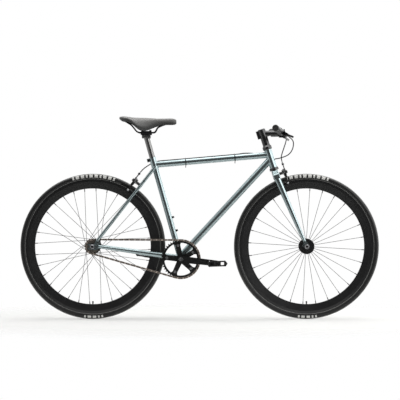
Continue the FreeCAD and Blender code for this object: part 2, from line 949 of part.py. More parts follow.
def chainring():
    body = sprocket_plate(CRANK, chainring_teeth, CRANK + turned(0) * pitch_radius(chainring_teeth))
    inner = -chain_line + tooth_thickness / 2
    outer = -chain_line - tooth_thickness / 2
    body = body.cut(disc(CRANK, outer, inner, pitch_radius(chainring_teeth) - chainring_band))
    root = pitch_radius(chainring_teeth) - roller_radius * 2
    flare_foot = root - chainring_flare
    tabs = []
    holes = []
    for angle, centre in zip(spider_angles(), bolt_centres()):
        neck = outline([
            (0, -spider_tab_radius, 0), (flare_foot, -spider_tab_radius, chainring_flare_round),
            (root, -spider_tab_radius - chainring_flare, 0), (root, spider_tab_radius + chainring_flare, 0),
            (flare_foot, spider_tab_radius, chainring_flare_round), (0, spider_tab_radius, 0),
        ])
        inside = disc(CRANK, outer, inner, chainring_bolt_circle / 2)
        tabs.append(side_plate(neck, CRANK, outer, inner, angle).cut(inside))
        tabs.append(disc(centre, outer, inner, spider_tab_radius))
        holes.append(disc(centre, outer, inner, chainring_bolt_radius))
    return [body.fuse(tabs).removeSplitter().cut(holes)]


def spider_inner_face():
    return chain_line + tooth_thickness / 2


def crank_blade(angle):
    """Arm with its eye, in the side view, tapering from the boss to the pedal."""
    wire = belt(crank_length, crank_boss_radius - 1, crank_eye_radius)
    return side_plate(wire, CRANK, -crank_arm_face, crank_arm_thickness - crank_arm_face, angle)


def crank_body(angle):
    """Boss, tapered arm, bolt recess and pedal thread of one crank, on the drive side."""
    eye = CRANK + turned(angle) * crank_length
    boss = disc(CRANK, -crank_boss_outer, -crank_boss_inner, crank_boss_radius)
    body = joined([boss, crank_blade(angle)])
    floor = crank_boss_outer - crank_bolt_recess
    recess = disc(CRANK, -crank_arm_face, -floor, crank_bolt_radius + end_float)
    thread = disc(eye, -crank_arm_face, crank_arm_thickness - crank_arm_face, pedal_thread_radius)
    return body.cut([recess, thread])


def crank_arm_right():
    body = crank_body(crank_angle)
    face = spider_inner_face()
    arms = []
    holes = []
    for angle, centre in zip(spider_angles(), bolt_centres()):
        wire = belt(chainring_bolt_circle / 2, spider_root_radius, spider_tab_radius)
        arms.append(side_plate(wire, CRANK, -face - spider_thickness, -face, angle))
        holes.append(disc(centre, -face - spider_thickness, -face, chainring_bolt_radius))
    body = body.fuse(arms).removeSplitter().cut(holes)
    return [body.cut(bottom_bracket_spindle())]


def crank_arm_left():
    body = mirrored(crank_body(crank_angle + 180))
    return [body.cut(bottom_bracket_spindle())]


def square_wire(centre, size, angle):
    half = size / 2
    first = turned(angle)
    second = turned(angle + 90)
    corners = [centre + first * (a * half) + second * (b * half)
               for a, b in ((1, 1), (-1, 1), (-1, -1), (1, -1))]
    return Part.makePolygon(corners + corners[:1])


def bottom_bracket_spindle():
    """Round spindle with tapered square ends that carry the cranks."""
    start = crank_boss_inner - end_float
    body = disc(CRANK, -start, start, spindle_radius)
    end = SIDE * (crank_boss_inner + spindle_square_length)
    root = SIDE * start
    taper = loft([square_wire(CRANK + root, spindle_square, crank_angle),
                  square_wire(CRANK + end, spindle_square_end, crank_angle)], True)
    return [joined([body, taper, mirrored(taper)])]


def bottom_bracket_cartridge():
    half = bottom_bracket_width / 2
    bore = bottom_bracket_radius - bottom_bracket_wall
    sleeve = disc(CRANK, -half, half, bore)
    left = disc(CRANK, half, half + cup_flange, bottom_bracket_radius)
    right = disc(CRANK, -half - cup_flange, -half, bottom_bracket_radius)
    body = joined([sleeve, left, right])
    outer = half + cup_flange
    return [body.cut(disc(CRANK, -outer, outer, spindle_radius + running_clearance))]


def crankset_bolts():
    """Chainring bolts with their heads, and the two crank bolts in their recesses."""
    pieces = []
    inner = chain_line - tooth_thickness / 2
    outer = spider_inner_face() + spider_thickness
    for centre in bolt_centres():
        shank = disc(centre, -outer, -inner, chainring_bolt_radius)
        head = disc(centre, -outer - chainring_bolt_head, -outer, chainring_bolt_head_radius)
        nut = disc(centre, -inner, chainring_bolt_head - inner, chainring_bolt_head_radius)
        socket = side_plate(hex_outline(chainring_bolt_key), centre, -outer - chainring_bolt_head, -outer)
        pieces.append(joined([shank, head, nut]).cut(socket))
    floor = crank_boss_outer - crank_bolt_recess
    cap = disc(CRANK, -floor - crank_bolt_thickness, -floor, crank_bolt_radius)
    socket = side_plate(hex_outline(crank_bolt_key), CRANK, -floor - crank_bolt_thickness, -floor)
    cap = cap.cut(socket)
    return pieces + both_sides(cap)


def pedal_axle(angle):
    eye = CRANK + turned(angle) * crank_length
    collar_end = crank_arm_face + pedal_collar_length
    pin_end = collar_end + pedal_side_gap + pedal_width - pedal_side_wall / 2
    thread = disc(eye, -crank_arm_face, crank_arm_thickness - crank_arm_face, pedal_thread_radius)
    collar = disc(eye, -collar_end, -crank_arm_face, pedal_collar_radius)
    pin = disc(eye, -pin_end, -collar_end, pedal_pin_radius)
    return joined([thread, collar, pin])


def pedal_axles():
    return [pedal_axle(crank_angle), mirrored(pedal_axle(crank_angle + 180))]


def pedal(angle, tilt):
    """Two-sided platform: slanted side walls, front and rear rails, and a barrel on the axle."""
    eye = CRANK + turned(angle) * crank_length
    inner = crank_arm_face + pedal_collar_length + pedal_side_gap
    outer = inner + pedal_width
    half = pedal_length / 2
    low = pedal_height / 2
    corners = [
        (-half, 0, 3), (-half + pedal_end_slant, -low, 3), (half - pedal_end_slant, -low, 3),
        (half, 0, 3), (half - pedal_end_slant, low, 3), (-half + pedal_end_slant, low, 3),
    ]
    block = side_plate(outline(corners), eye, -outer, -inner, tilt)
    rail = pedal_rail
    window = outline([
        (-half + rail + pedal_end_slant, -low - rail, 0), (-pedal_barrel_radius - rail, -low - rail, 0),
        (-pedal_barrel_radius - rail, low + rail, 0), (-half + rail + pedal_end_slant, low + rail, 0),
    ])
    gap_from = -outer + pedal_side_wall
    gap_to = -inner - pedal_side_wall
    rear_gap = side_plate(window, eye, gap_from, gap_to, tilt)
    front_gap = spun(rear_gap, eye, 180)
    flare = pedal_height / 2 - pedal_barrel_radius
    waist_up = outline([
        (-pedal_barrel_radius - rail, pedal_barrel_radius, 0), (pedal_barrel_radius + rail, pedal_barrel_radius, 0),
        (pedal_barrel_radius + rail, low + flare, 0), (-pedal_barrel_radius - rail, low + flare, 0),
    ])
    top_gap = side_plate(waist_up, eye, gap_from, gap_to, tilt)
    under_gap = spun(top_gap, eye, 180)
    tall = low - pedal_window_rim
    side_window = outline([
        (-half + rail + pedal_end_slant, -tall, pedal_window_round),
        (-pedal_barrel_radius - rail, -tall, pedal_window_round),
        (-pedal_barrel_radius - rail, tall, pedal_window_round),
        (-half + rail + pedal_end_slant, tall, pedal_window_round),
    ])
    rear_window = side_plate(side_window, eye, -outer, -inner, tilt)
    front_window = spun(rear_window, eye, 180)
    bore_end = outer - pedal_side_wall / 2 + end_float
    bore = disc(eye, -bore_end, -inner, pedal_pin_radius + running_clearance)
    return block.cut([rear_gap, front_gap, top_gap, under_gap, rear_window, front_window, bore])


def pedal_right():
    return [pedal(crank_angle, right_pedal_tilt)]


def pedal_left():
    return [mirrored(pedal(crank_angle + 180, left_pedal_tilt))]


def rear_cog():
    body = sprocket_plate(REAR_AXLE, cog_teeth, REAR_AXLE - turned(0) * pitch_radius(cog_teeth))
    face = cog_outer_face()
    body = body.cut(disc(REAR_AXLE, -face, tooth_thickness - face, hub_thread_radius))
    lock = ring(REAR_AXLE, -face - lockring_thickness, -face, lockring_radius, lockring_thread_radius)
    notches = []
    for index in range(lockring_notches):
        centre = REAR_AXLE + turned(45 + index * 360.0 / lockring_notches) * lockring_radius
        notches.append(disc(centre, -face - lockring_thickness, -face, lockring_notch_radius))
    return [body, lock.cut(notches)]


def link_wire(pitch, height):
    """An eight-sided side plate round two pins, about the first pin."""
    half = height / 2
    clip = half * 0.55
    return outline([
        (-half, -clip, 0), (-clip, -half, 0), (pitch + clip, -half, 0), (pitch + half, -clip, 0),
        (pitch + half, clip, 0), (pitch + clip, half, 0), (-clip, half, 0), (-half, clip, 0),
    ])


def link_solids():
    """An inner and an outer link at the local origin, their pins along Z and pitch along X."""
    inner_half = chain_inner_width / 2
    inner_out = inner_half + chain_plate_thickness
    outer_in = inner_out + chain_plate_gap
    outer_out = outer_in + chain_plate_thickness
    up = Vector(0, 0, 1)
    shape = plate(link_wire(chain_pitch, chain_plate_height), chain_plate_thickness)
    narrow = plate(link_wire(chain_pitch, chain_plate_height * 0.9), chain_plate_thickness)
    inner_parts = []
    outer_parts = []
    bores = []
    for level, solid, parts in ((inner_half, shape, inner_parts), (-inner_out, shape, inner_parts),
                                (outer_in, narrow, outer_parts), (-outer_out, narrow, outer_parts)):
        moved = solid.copy()
        moved.translate(up * level)
        parts.append(moved)
    for x in (0, chain_pitch):
        roller_foot = Vector(x, 0, -inner_half)
        inner_parts.append(Part.makeCylinder(roller_radius, chain_inner_width, roller_foot, up))
        bores.append(Part.makeCylinder(chain_pin_radius + chain_pin_play, inner_out * 2, Vector(x, 0, -inner_out), up))
        outer_parts.append(Part.makeCylinder(chain_pin_radius, outer_out * 2, Vector(x, 0, -outer_out), up))
    return joined(inner_parts).cut(bores), joined(outer_parts)


def chain():
    inner, outer = link_solids()
    pieces = []
    lift = SIDE * -chain_line
    for index in range(chain_links):
        start = chain_point(index * chain_pitch)
        end = chain_point((index + 1) % chain_links * chain_pitch)
        along = (end - start).normalize()
        link = inner if index % 2 == 0 else outer
        pieces.append(put(link, frame_at(start + lift, along, SIDE * -1)))
    return pieces


# Frame

def head_core(extra=0.0):
    return rod(steer(head_bottom), steer(head_top), head_tube_radius + extra)


def seat_core():
    top = rod(seat(seat_tube_length - seat_sleeve_length), seat(seat_tube_length), seat_sleeve_radius)
    return rod(seat(0), seat(seat_tube_length), seat_tube_radius).fuse(top)


def shell_core():
    half = bottom_bracket_width / 2
    return disc(CRANK, -half, half, bottom_bracket_radius)


def head_tube():
    return [pipe(steer(head_bottom), steer(head_top), head_tube_radius, head_tube_wall)]


def top_tube_ends():
    return seat(seat_tube_length - top_tube_below_top), steer(head_bottom + top_tube_head_joint)


def top_tube():
    rear, front = top_tube_ends()
    body = pipe(rear, front, top_tube_radius, top_tube_wall)
    return [body.cut([head_core(), seat_core()])]


def down_tube_ends():
    """The tube's axis passes above the bottom bracket's centre by its offset."""
    front = steer(head_bottom + down_tube_head_joint)
    to_front = front - CRANK
    lean = math.asin(down_tube_offset / to_front.Length)
    heading = math.degrees(math.atan2(to_front.z, to_front.x) - lean)
    along = turned(heading)
    foot = front - along * math.sqrt(to_front.Length ** 2 - down_tube_offset ** 2)
    return foot, front


def down_tube():
    foot, front = down_tube_ends()
    rear, top_front = top_tube_ends()
    body = pipe(foot, front, down_tube_radius, down_tube_wall)
    trimmed = body.cut([head_core(), shell_core(), seat_core(), rod(rear, top_front, top_tube_radius)])
    return [largest(trimmed)]


def seat_tube():
    """Tube with a thicker sleeve at the top, slotted between two binder ears behind."""
    top = seat_tube_length
    ear_foot = top - binder_ear_height
    reach = seat_sleeve_radius + binder_ear_depth
    ears = plate(outline([
        (0, -binder_ear_thickness - binder_slot / 2, 0), (reach, -binder_ear_thickness - binder_slot / 2, 3),
        (reach, binder_ear_thickness + binder_slot / 2, 3), (0, binder_ear_thickness + binder_slot / 2, 0),
    ]), binder_ear_height)
    ears = put(ears, frame_at(seat(ear_foot), SEAT_FORWARD * -1, SEAT_UP))
    body = joined([seat_core(), ears])
    slot = Part.makeBox(reach * 2, binder_slot, seat_sleeve_length * 0.6)
    slot.translate(Vector(0, -binder_slot / 2, 0))
    slot = put(slot, frame_at(seat(top - seat_sleeve_length * 0.6), SEAT_FORWARD * -1, SEAT_UP))
    bore = rod(seat(top - seat_tube_bore_depth), seat(top), seatpost_radius + seatpost_slip)
    lower = rod(seat(0), seat(top - seat_tube_bore_depth), seat_tube_radius - seat_tube_wall)
    hole = rod(binder_point(-reach), binder_point(reach), binder_bolt_radius)
    return [body.cut([slot, bore, lower, shell_core(), hole])]


def binder_point(side):
    return seat(seat_tube_length - binder_ear_height / 2, -seat_sleeve_radius - binder_ear_depth * 0.45, side)


def bottom_bracket_shell():
    half = bottom_bracket_width / 2
    return [ring(CRANK, -half, half, bottom_bracket_radius, bottom_bracket_radius - bottom_bracket_wall)]


def dropout_side():
    return (rear_over_locknuts + dropout_thickness) / 2


def dropout_outline():
    """Track end about the axle: a slot open to the rear, a nose and a horn for the stays."""
    half = dropout_half_height
    horn = dropout_horn
    nose = dropout_nose
    return outline([
        (-dropout_tail, -half, 4), (nose * 0.4, -half * 1.35, 8), (nose, -half * 0.8, 3),
        (nose, half * 0.75, 6), (horn * 0.95, horn * 1.05, 3), (horn * 0.55, horn * 1.1, 3),
        (nose * 0.28, half, 8), (-dropout_tail, half, 4),
    ])


def dropout():
    inner = rear_over_locknuts / 2
    body = side_plate(dropout_outline(), REAR_AXLE, inner, inner + dropout_thickness)
    gap = rear_axle_radius + dropout_slot_play
    slot = belt(dropout_slot_front + dropout_tail + gap, gap, gap - 1e-3)
    slot = side_plate(slot, REAR_AXLE + turned(0) * (dropout_slot_front - gap), inner - 1,
                      inner + dropout_thickness + 1, 180)
    eyelet = REAR_AXLE + turned(38) * dropout_horn
    lug = disc(eyelet, inner, inner + dropout_thickness, eyelet_rim_radius)
    hole = disc(eyelet, inner, inner + dropout_thickness, eyelet_radius)
    return joined([body, lug]).cut([slot, hole])


def rear_dropouts():
    return both_sides(dropout())


def chainstay_ends():
    root = CRANK + Vector(0, chainstay_root_side, chainstay_root_rise)
    tip = REAR_AXLE + Vector(dropout_nose - 8, dropout_side(), 0)
    return root, tip


def chainstay_solid(inset=0.0):
    root, tip = chainstay_ends()
    along = (tip - root).normalize()
    across = SIDE - along * SIDE.dot(along)
    across.normalize()
    up = along.cross(across)
    root_oval = oval(root, up, across, chainstay_root_height / 2 - inset, chainstay_root_width / 2 - inset)
    middle = root + (tip - root) * 0.45
    middle_oval = oval(middle, up, across, chainstay_root_height * 0.4 - inset, chainstay_root_width / 2 - inset)
    tip_oval = oval(tip, up, across, chainstay_tip_radius + 0.01 - inset, chainstay_tip_radius - inset)
    return loft([root_oval, middle_oval, tip_oval])


def chainstay_bridge():
    root, tip = chainstay_ends()
    middle = root + (tip - root).normalize() * chainstay_bridge_reach
    return disc(middle, -middle.y, middle.y, bridge_radius)


def chainstays():
    solid = chainstay_solid().cut([shell_core(), dropout()])
    hollow = solid.cut(chainstay_solid(stay_wall))
    bridge = chainstay_bridge().cut([chainstay_solid(), mirrored(chainstay_solid())])
    return both_sides(hollow) + [bridge]


def seatstay_ends():
    top = seat(seat_tube_length - seatstay_below_top, 0, seatstay_top_side)
    foot = REAR_AXLE + SIDE * dropout_side()
    along = (Vector(top.x, 0, top.z) - REAR_AXLE).normalize()
    return foot + along * (dropout_horn * 1.1), top


def seatstay_solid(inset=0.0):
    foot, top = seatstay_ends()
    along = top - foot
    return Part.makeCone(seatstay_tip_radius - inset, seatstay_radius - inset, along.Length, foot, along)


def stay_heading():
    """Angle in the side view of the seatstays above forward."""
    foot, top = seatstay_ends()
    return math.degrees(math.atan2(top.z - foot.z, top.x - foot.x))


def rim_brake_radius():
    return rim_edge_radius() - pad_drop_from_edge


def rear_brake_point():
    return REAR_AXLE + turned(stay_heading()) * (rim_brake_radius() + brake_reach)


def brake_bridge():
    foot, top = seatstay_ends()
    middle = rear_brake_point()
    share = (middle.x - foot.x) / (top.x - foot.x)
    side = foot.y + (top.y - foot.y) * share
    bar = disc(middle, -side, side, bridge_radius)
    bolt_way = turned(stay_heading() + 90)
    reach = bridge_radius + bridge_boss
    boss = rod(middle - bolt_way * reach, middle + bolt_way * reach, reach)
    hole = rod(middle - bolt_way * reach * 2, middle + bolt_way * reach * 2, caliper_bolt_radius)
    return joined([bar, boss]).cut([hole, seatstay_solid(), mirrored(seatstay_solid())])


def seatstays():
    solid = seatstay_solid().cut([seat_core(), dropout()])
    hollow = solid.cut(seatstay_solid(stay_wall))
    return both_sides(hollow) + [brake_bridge()]


def frame_bolts():
    """Binder bolt, bottle bolts on their bosses and the eyelet screws of the seatstays."""
    ear = binder_ear_thickness + binder_slot / 2
    binder = joined([
        rod(binder_point(-ear), binder_point(ear), binder_bolt_radius),
        rod(binder_point(-ear - binder_head_height), binder_point(-ear), binder_head_radius),
        rod(binder_point(ear), binder_point(ear + binder_head_height), binder_head_radius),
    ])
    pieces = [binder]
    for height in bottle_bolt_heights:
        boss_top = seat_tube_radius + bottle_boss_height
        boss = rod(seat(height), seat(height, boss_top), bottle_boss_radius)
        head = rod(seat(height, boss_top), seat(height, boss_top + bottle_bolt_head), bottle_bolt_radius)
        pieces.append(joined([boss, head]).cut(rod(seat(0), seat(seat_tube_length), seat_tube_radius)))
    foot, top = seatstay_ends()
    along = (top - foot).normalize()
    place = foot + along * (eyelet_screw_reach - (foot - REAR_AXLE).Length)
    outward = place + SIDE * (seatstay_radius + eyelet_screw_head)
    screw = rod(place, outward, eyelet_screw_radius).cut(seatstay_solid())
    return pieces + both_sides(screw)


def headset_cup(start, direction, height):
    """Cup pressed into the head tube, seen from its open end, with its bearing ring."""
    bore = head_tube_radius - head_tube_wall
    bearing = cup_radius - 3.5
    profile = [
        (bore - cup_skirt_wall, -cup_skirt), (bore, -cup_skirt), (bore, 0), (cup_radius - 2, 0),
        (cup_radius, height * 0.35), (cup_radius, height), (bearing, height),
        (bearing, height - headset_bearing_height), (bore - cup_skirt_wall, height - headset_bearing_height),
    ]
    cup = revolved(profile, start, direction)
    shaft = steerer_radius + running_clearance
    race = revolved([
        (shaft, height - headset_bearing_height), (bearing, height - headset_bearing_height),
        (bearing, height - end_float), (shaft, height - end_float),
    ], start, direction)
    return [cup, race]


def headset_cups():
    lower = headset_cup(steer(head_bottom), STEER_UP * -1, lower_cup_height - end_float)
    upper = headset_cup(steer(head_top), STEER_UP, upper_cup_height)
    return lower + upper


# Fork and headset

def crown_bottom():
    return fork_length - crown_height


def crown_outline():
    """Arched crown in the plane across the bicycle: local X to the left, local Y up."""
    low = crown_bottom()
    half = crown_half_width
    arch_side = blade_root_side - blade_root_width / 2 - 0.5
    arch_top = low + crown_height * 0.36
    shoulder = fork_length - crown_shoulder_drop
    return outline([
        (-half, low, 0), (-arch_side, low, 0), (-arch_side, arch_top, 12), (arch_side, arch_top, 12),
        (arch_side, low, 0), (half, low, 0), (half, shoulder - 6, 12),
        (crown_top_half_width + 2, fork_length, 5), (-crown_top_half_width - 2, fork_length, 5),
        (-half, shoulder - 6, 12),
    ])


def fork_crown():
    """Forged crown with the steerer tube, drilled for the brake bolt."""
    half = crown_depth / 2
    block = plate(crown_outline(), crown_depth)
    block = put(block, frame_at(steer(0, -half), SIDE, STEER_FORWARD))
    block = block.makeFillet(crown_edge_round, long_edges(block))
    steerer = rod(steer(fork_length - 2), steer(stem_top - 3), steerer_radius)
    bore = rod(steer(fork_length - crown_height * 0.6), steer(stem_top), steerer_radius - steerer_wall)
    height = rim_brake_radius() + brake_reach
    hole = rod(steer(height, -crown_depth), steer(height, crown_depth), caliper_bolt_radius)
    return [joined([block, steerer]).cut([bore, hole])]


def long_edges(block):
    """Edges of the crown's front and rear faces above its flat feet."""
    kept = []
    for edge in block.Edges:
        ends = [vertex.Point for vertex in edge.Vertexes]
        heights = [(point - steer(0)).dot(STEER_UP) for point in ends]
        depths = [(point - steer(0)).dot(STEER_FORWARD) for point in ends]
        flat = abs(depths[0] - depths[-1]) < 0.1
        sides = [abs(point.y) for point in ends]
        outer = min(sides) > crown_top_half_width or max(heights) > fork_length - 1
        if flat and outer and max(heights) > crown_bottom() + 1 and max(sides) > blade_root_side:
            kept.append(edge)
    return kept


def fork_tip_side():
    return (front_over_locknuts + fork_tip_thickness) / 2


def blade_ends():
    root = steer(crown_bottom(), 0, blade_root_side)
    tip = FRONT_AXLE + SIDE * fork_tip_side() + STEER_UP * fork_tip_reach - STEER_FORWARD * (
        fork_rake * fork_tip_reach / crown_bottom())
    return root, tip


def blade_solid(inset=0.0):
    root, tip = blade_ends()
    root_oval = oval(root, STEER_FORWARD, SIDE, blade_root_depth / 2 - inset, blade_root_width / 2 - inset)
    tip_oval = oval(tip, STEER_FORWARD, SIDE, blade_tip_radius + 0.01 - inset, blade_tip_radius - inset)
    return loft([root_oval, tip_oval], True)


def fork_tip():
    """Front dropout: a round-ended plate with a slot for the axle, open downwards."""
    inner = front_over_locknuts / 2
    root, tip = blade_ends()
    heading = math.degrees(math.atan2(tip.z - FRONT_AXLE.z, tip.x - FRONT_AXLE.x))
    reach = (Vector(tip.x, 0, tip.z) - FRONT_AXLE).Length + 8
    body = side_plate(belt(reach, fork_tip_radius, blade_tip_radius), FRONT_AXLE, inner,
                      inner + fork_tip_thickness, heading)
    eyelet = FRONT_AXLE + turned(180 - 15) * (fork_tip_radius + eyelet_radius + 1)
    lug = disc(eyelet, inner, inner + fork_tip_thickness, eyelet_rim_radius)
    hole = disc(eyelet, inner - 1, inner + fork_tip_thickness + 1, eyelet_radius)
    gap = front_axle_radius + dropout_slot_play
    slot = side_plate(belt(fork_tip_radius * 2, gap, gap - 1e-3), FRONT_AXLE, inner - 1,
                      inner + fork_tip_thickness + 1, heading + 180)
    return joined([body, lug]).cut([hole, slot])


def fork_blades():
    tip_plate = fork_tip()
    blade = blade_solid().cut(blade_solid(blade_wall)).cut(tip_plate)
    return both_sides(blade) + both_sides(tip_plate)


def headset_spacers():
    """Bearing cover, spacer rings and top cap, stacked on the steerer."""
    bore = steerer_radius + running_clearance
    foot = head_top + upper_cup_height + end_float
    cover = revolved([
        (bore, 0), (cup_radius, 0), (cup_radius, headset_cover_height * 0.3),
        (spacer_radius, headset_cover_height - end_float), (bore, headset_cover_height - end_float),
    ], steer(foot), STEER_UP)
    pieces = [cover]
    for index in range(spacer_count):
        start = spacer_bottom + index * spacer_height
        pieces.append(revolved([
            (bore, 0), (spacer_radius - 0.5, 0), (spacer_radius, 0.5), (spacer_radius, spacer_height - 0.5),
            (spacer_radius - 0.5, spacer_height), (bore, spacer_height),
        ], steer(start), STEER_UP))
    cap = revolved([
        (0, 0), (stem_clamp_radius - 1, 0), (stem_clamp_radius - 1, top_cap_height * 0.5),
        (stem_clamp_radius - 3, top_cap_height), (6, top_cap_height), (6, top_cap_height * 0.5),
        (0, top_cap_height * 0.5),
    ], steer(stem_top), STEER_UP)
    pieces.append(cap)
    return pieces


# Stem, bar and grips

def stem_heading():
    """Direction of the stem's extension in the side view."""
    return turned(90 - head_angle + stem_angle)


def stem_middle():
    return steer((stem_bottom + stem_top) / 2)


def bar_centre():
    return stem_middle() + stem_heading() * stem_extension


def clamp_outer_radius():
    return bar_centre_radius + bar_clamp_wall


def bar_clamp_half(ahead):
    """Front or rear half of the clamp round the bar, split across the extension."""
    half = bar_clamp_width / 2
    body = ring(bar_centre(), -half, half, clamp_outer_radius(), bar_centre_radius)
    reach = clamp_outer_radius()
    block = Part.makeBox(reach, bar_clamp_width * 2, reach * 2,
                         Vector(faceplate_gap / 2, -bar_clamp_width, -reach))
    heading = stem_heading()
    block = put(block, frame_at(bar_centre(), heading * ahead, Vector(-heading.z, 0, heading.x) * ahead))
    return body.common(block)


def faceplate_bolt_lines():
    """Start and direction of the four bolts that close the faceplate."""
    heading = stem_heading()
    up = Vector(-heading.z, 0, heading.x)
    lines = []
    for side in (-faceplate_bolt_side, faceplate_bolt_side):
        for level in (-1, 1):
            lines.append(bar_centre() + SIDE * side + up * level * (bar_centre_radius + stem_bolt_radius + 0.8))
    return lines


def pinch_bolt_points():
    middle = (stem_bottom + stem_top) / 2
    spread = stem_clamp_height * 0.27
    return [(middle + level * spread, -stem_clamp_radius - pinch_ear_depth * 0.35) for level in (-1, 1)]


def stem():
    """Split steerer clamp with pinch ears, extension and bar clamp, with a loose faceplate."""
    clamp = rod(steer(stem_bottom), steer(stem_top), stem_clamp_radius)
    reach = stem_clamp_radius + pinch_ear_depth
    ear_half = pinch_ear_thickness + pinch_slot / 2
    ears = plate(outline([
        (0, -ear_half, 0), (reach, -ear_half, 4), (reach, ear_half, 4), (0, ear_half, 0),
    ]), stem_clamp_height)
    ears = put(ears, frame_at(steer(stem_bottom), STEER_FORWARD * -1, STEER_UP))
    extension = rod(stem_middle(), bar_centre(), stem_tube_radius)
    rear_half = bar_clamp_half(-1)
    room = disc(bar_centre(), -bar_half_width, bar_half_width, bar_centre_radius + bar_clamp_wall / 2)
    body = joined([clamp, ears, extension.cut(room), rear_half])
    bore = rod(steer(stem_bottom - 1), steer(stem_top + 1), steerer_radius + running_clearance)
    slot = Part.makeBox(reach + 1, pinch_slot, stem_clamp_height, Vector(0, -pinch_slot / 2, 0))
    slot = put(slot, frame_at(steer(stem_bottom), STEER_FORWARD * -1, STEER_UP))
    under = rod(steer(spacer_bottom), steer(stem_bottom), stem_clamp_radius + stem_tube_radius)
    holes = [bore, slot, under, disc(bar_centre(), -bar_half_width, bar_half_width, bar_centre_radius)]
    for up, forward in pinch_bolt_points():
        holes.append(rod(steer(up, forward, -ear_half), steer(up, forward, ear_half), stem_bolt_radius))
    plate_holes = []
    heading = stem_heading()
    for start in faceplate_bolt_lines():
        plate_holes.append(rod(start - heading * 12, start + heading * 30, stem_bolt_radius))
    face = bar_clamp_half(1).cut(plate_holes)
    return [body.cut(holes + plate_holes), face]


def stem_bolts():
    pieces = []
    heading = stem_heading()
    front = clamp_outer_radius() * 0.5
    for start in faceplate_bolt_lines():
        shank = rod(start - heading * 12, start + heading * front, stem_bolt_radius)
        head = rod(start + heading * front, start + heading * (front + stem_bolt_head), stem_bolt_head_radius)
        plate_room = bar_clamp_half(1)
        pieces.append(joined([shank, head.cut(plate_room)]))
    ear_half = pinch_ear_thickness + pinch_slot / 2
    for index, (up, forward) in enumerate(pinch_bolt_points()):
        way = -1 if index == 0 else 1
        shank = rod(steer(up, forward, -ear_half), steer(up, forward, ear_half), stem_bolt_radius)
        head = rod(steer(up, forward, way * ear_half), steer(up, forward, way * (ear_half + stem_bolt_head)),
                   stem_bolt_head_radius)
        pieces.append(joined([shank, head]))
    return pieces


def grip_direction():
    """Unit vector along the left half of the bar, outwards."""
    back = math.tan(math.radians(bar_back_sweep))
    rise = math.tan(math.radians(bar_up_sweep))
    return Vector(-back, 1, rise).normalize()


def bar_point(from_end, side=1):
    """A point on the left half of the bar's axis, measured from its end."""
    outward = grip_direction()
    corner = bar_centre() + SIDE * bar_bend_side
    end = corner + outward * ((bar_half_width - bar_bend_side) / outward.y)
    point = end - outward * from_end
    return Vector(point.x, point.y * side, point.z)


def bar_path():
    """Straight middle, one bend on each side and straight swept ends."""
    outward = grip_direction()
    half_turn = SIDE.getAngle(outward) / 2
    reach = bar_bend_radius * math.tan(half_turn)
    corner = bar_centre() + SIDE * bar_bend_side
    inner = corner - SIDE * reach
    outer = corner + outward * reach
    bisector = (outward - SIDE).normalize()
    middle = corner + bisector * (bar_bend_radius / math.cos(half_turn) - bar_bend_radius)
    left = [Part.Arc(inner, middle, outer).toShape(), Part.LineSegment(outer, bar_point(0)).toShape()]

    def flip(point):
        return Vector(point.x, -point.y, point.z)

    right = [
        Part.LineSegment(bar_point(0, -1), flip(outer)).toShape(),
        Part.Arc(flip(outer), flip(middle), flip(inner)).toShape(),
    ]
    return Part.Wire(right + [Part.LineSegment(flip(inner), inner).toShape()] + left)


def handlebar():
    path = bar_path()
    outer = swept(path, bar_radius)
    half = bar_bulge_half
    bulge = revolved([
        (0, -half - bar_taper), (bar_radius, -half - bar_taper), (bar_centre_radius, -half),
        (bar_centre_radius, half), (bar_radius, half + bar_taper), (0, half + bar_taper),
    ], bar_centre(), SIDE)
    return [joined([outer, bulge]).cut(swept(path, bar_radius - bar_wall))]


def grip():
    outward = grip_direction()
    end = bar_point(0)
    profile = [
        (bar_radius, -grip_length), (grip_collar_radius, -grip_length),
        (grip_collar_radius, grip_collar_width - grip_length), (grip_radius, grip_collar_width * 1.6 - grip_length),
        (grip_radius - 0.6, -grip_length * 0.5), (grip_radius, -grip_collar_width),
        (grip_radius, grip_end_thickness - 1), (grip_radius - 1, grip_end_thickness), (0, grip_end_thickness),
        (0, 0), (bar_radius, 0),
    ]
    return revolved(profile, end, outward)


def grips():
    return both_sides(grip())


# Brake levers

def lever_frame():
    """Local X outwards along the bar, local Y towards the blade, local Z out of the lever's plane."""
    outward = grip_direction()
    forward = Vector(1, 0, 0) - outward * outward.x
    forward.normalize()
    up = forward.cross(outward)
    if up.z < 0:
        up = up * -1
    tilt = math.radians(lever_tilt)
    ahead = forward * math.cos(tilt) - up * math.sin(tilt)
    return Placement(bar_point(lever_setback), Rotation(outward, ahead, outward.cross(ahead), "XYZ"))


def flat_solid(corners, half_thickness):
    body = plate(outline(corners), half_thickness * 2)
    body.translate(Vector(0, 0, -half_thickness))
    return body


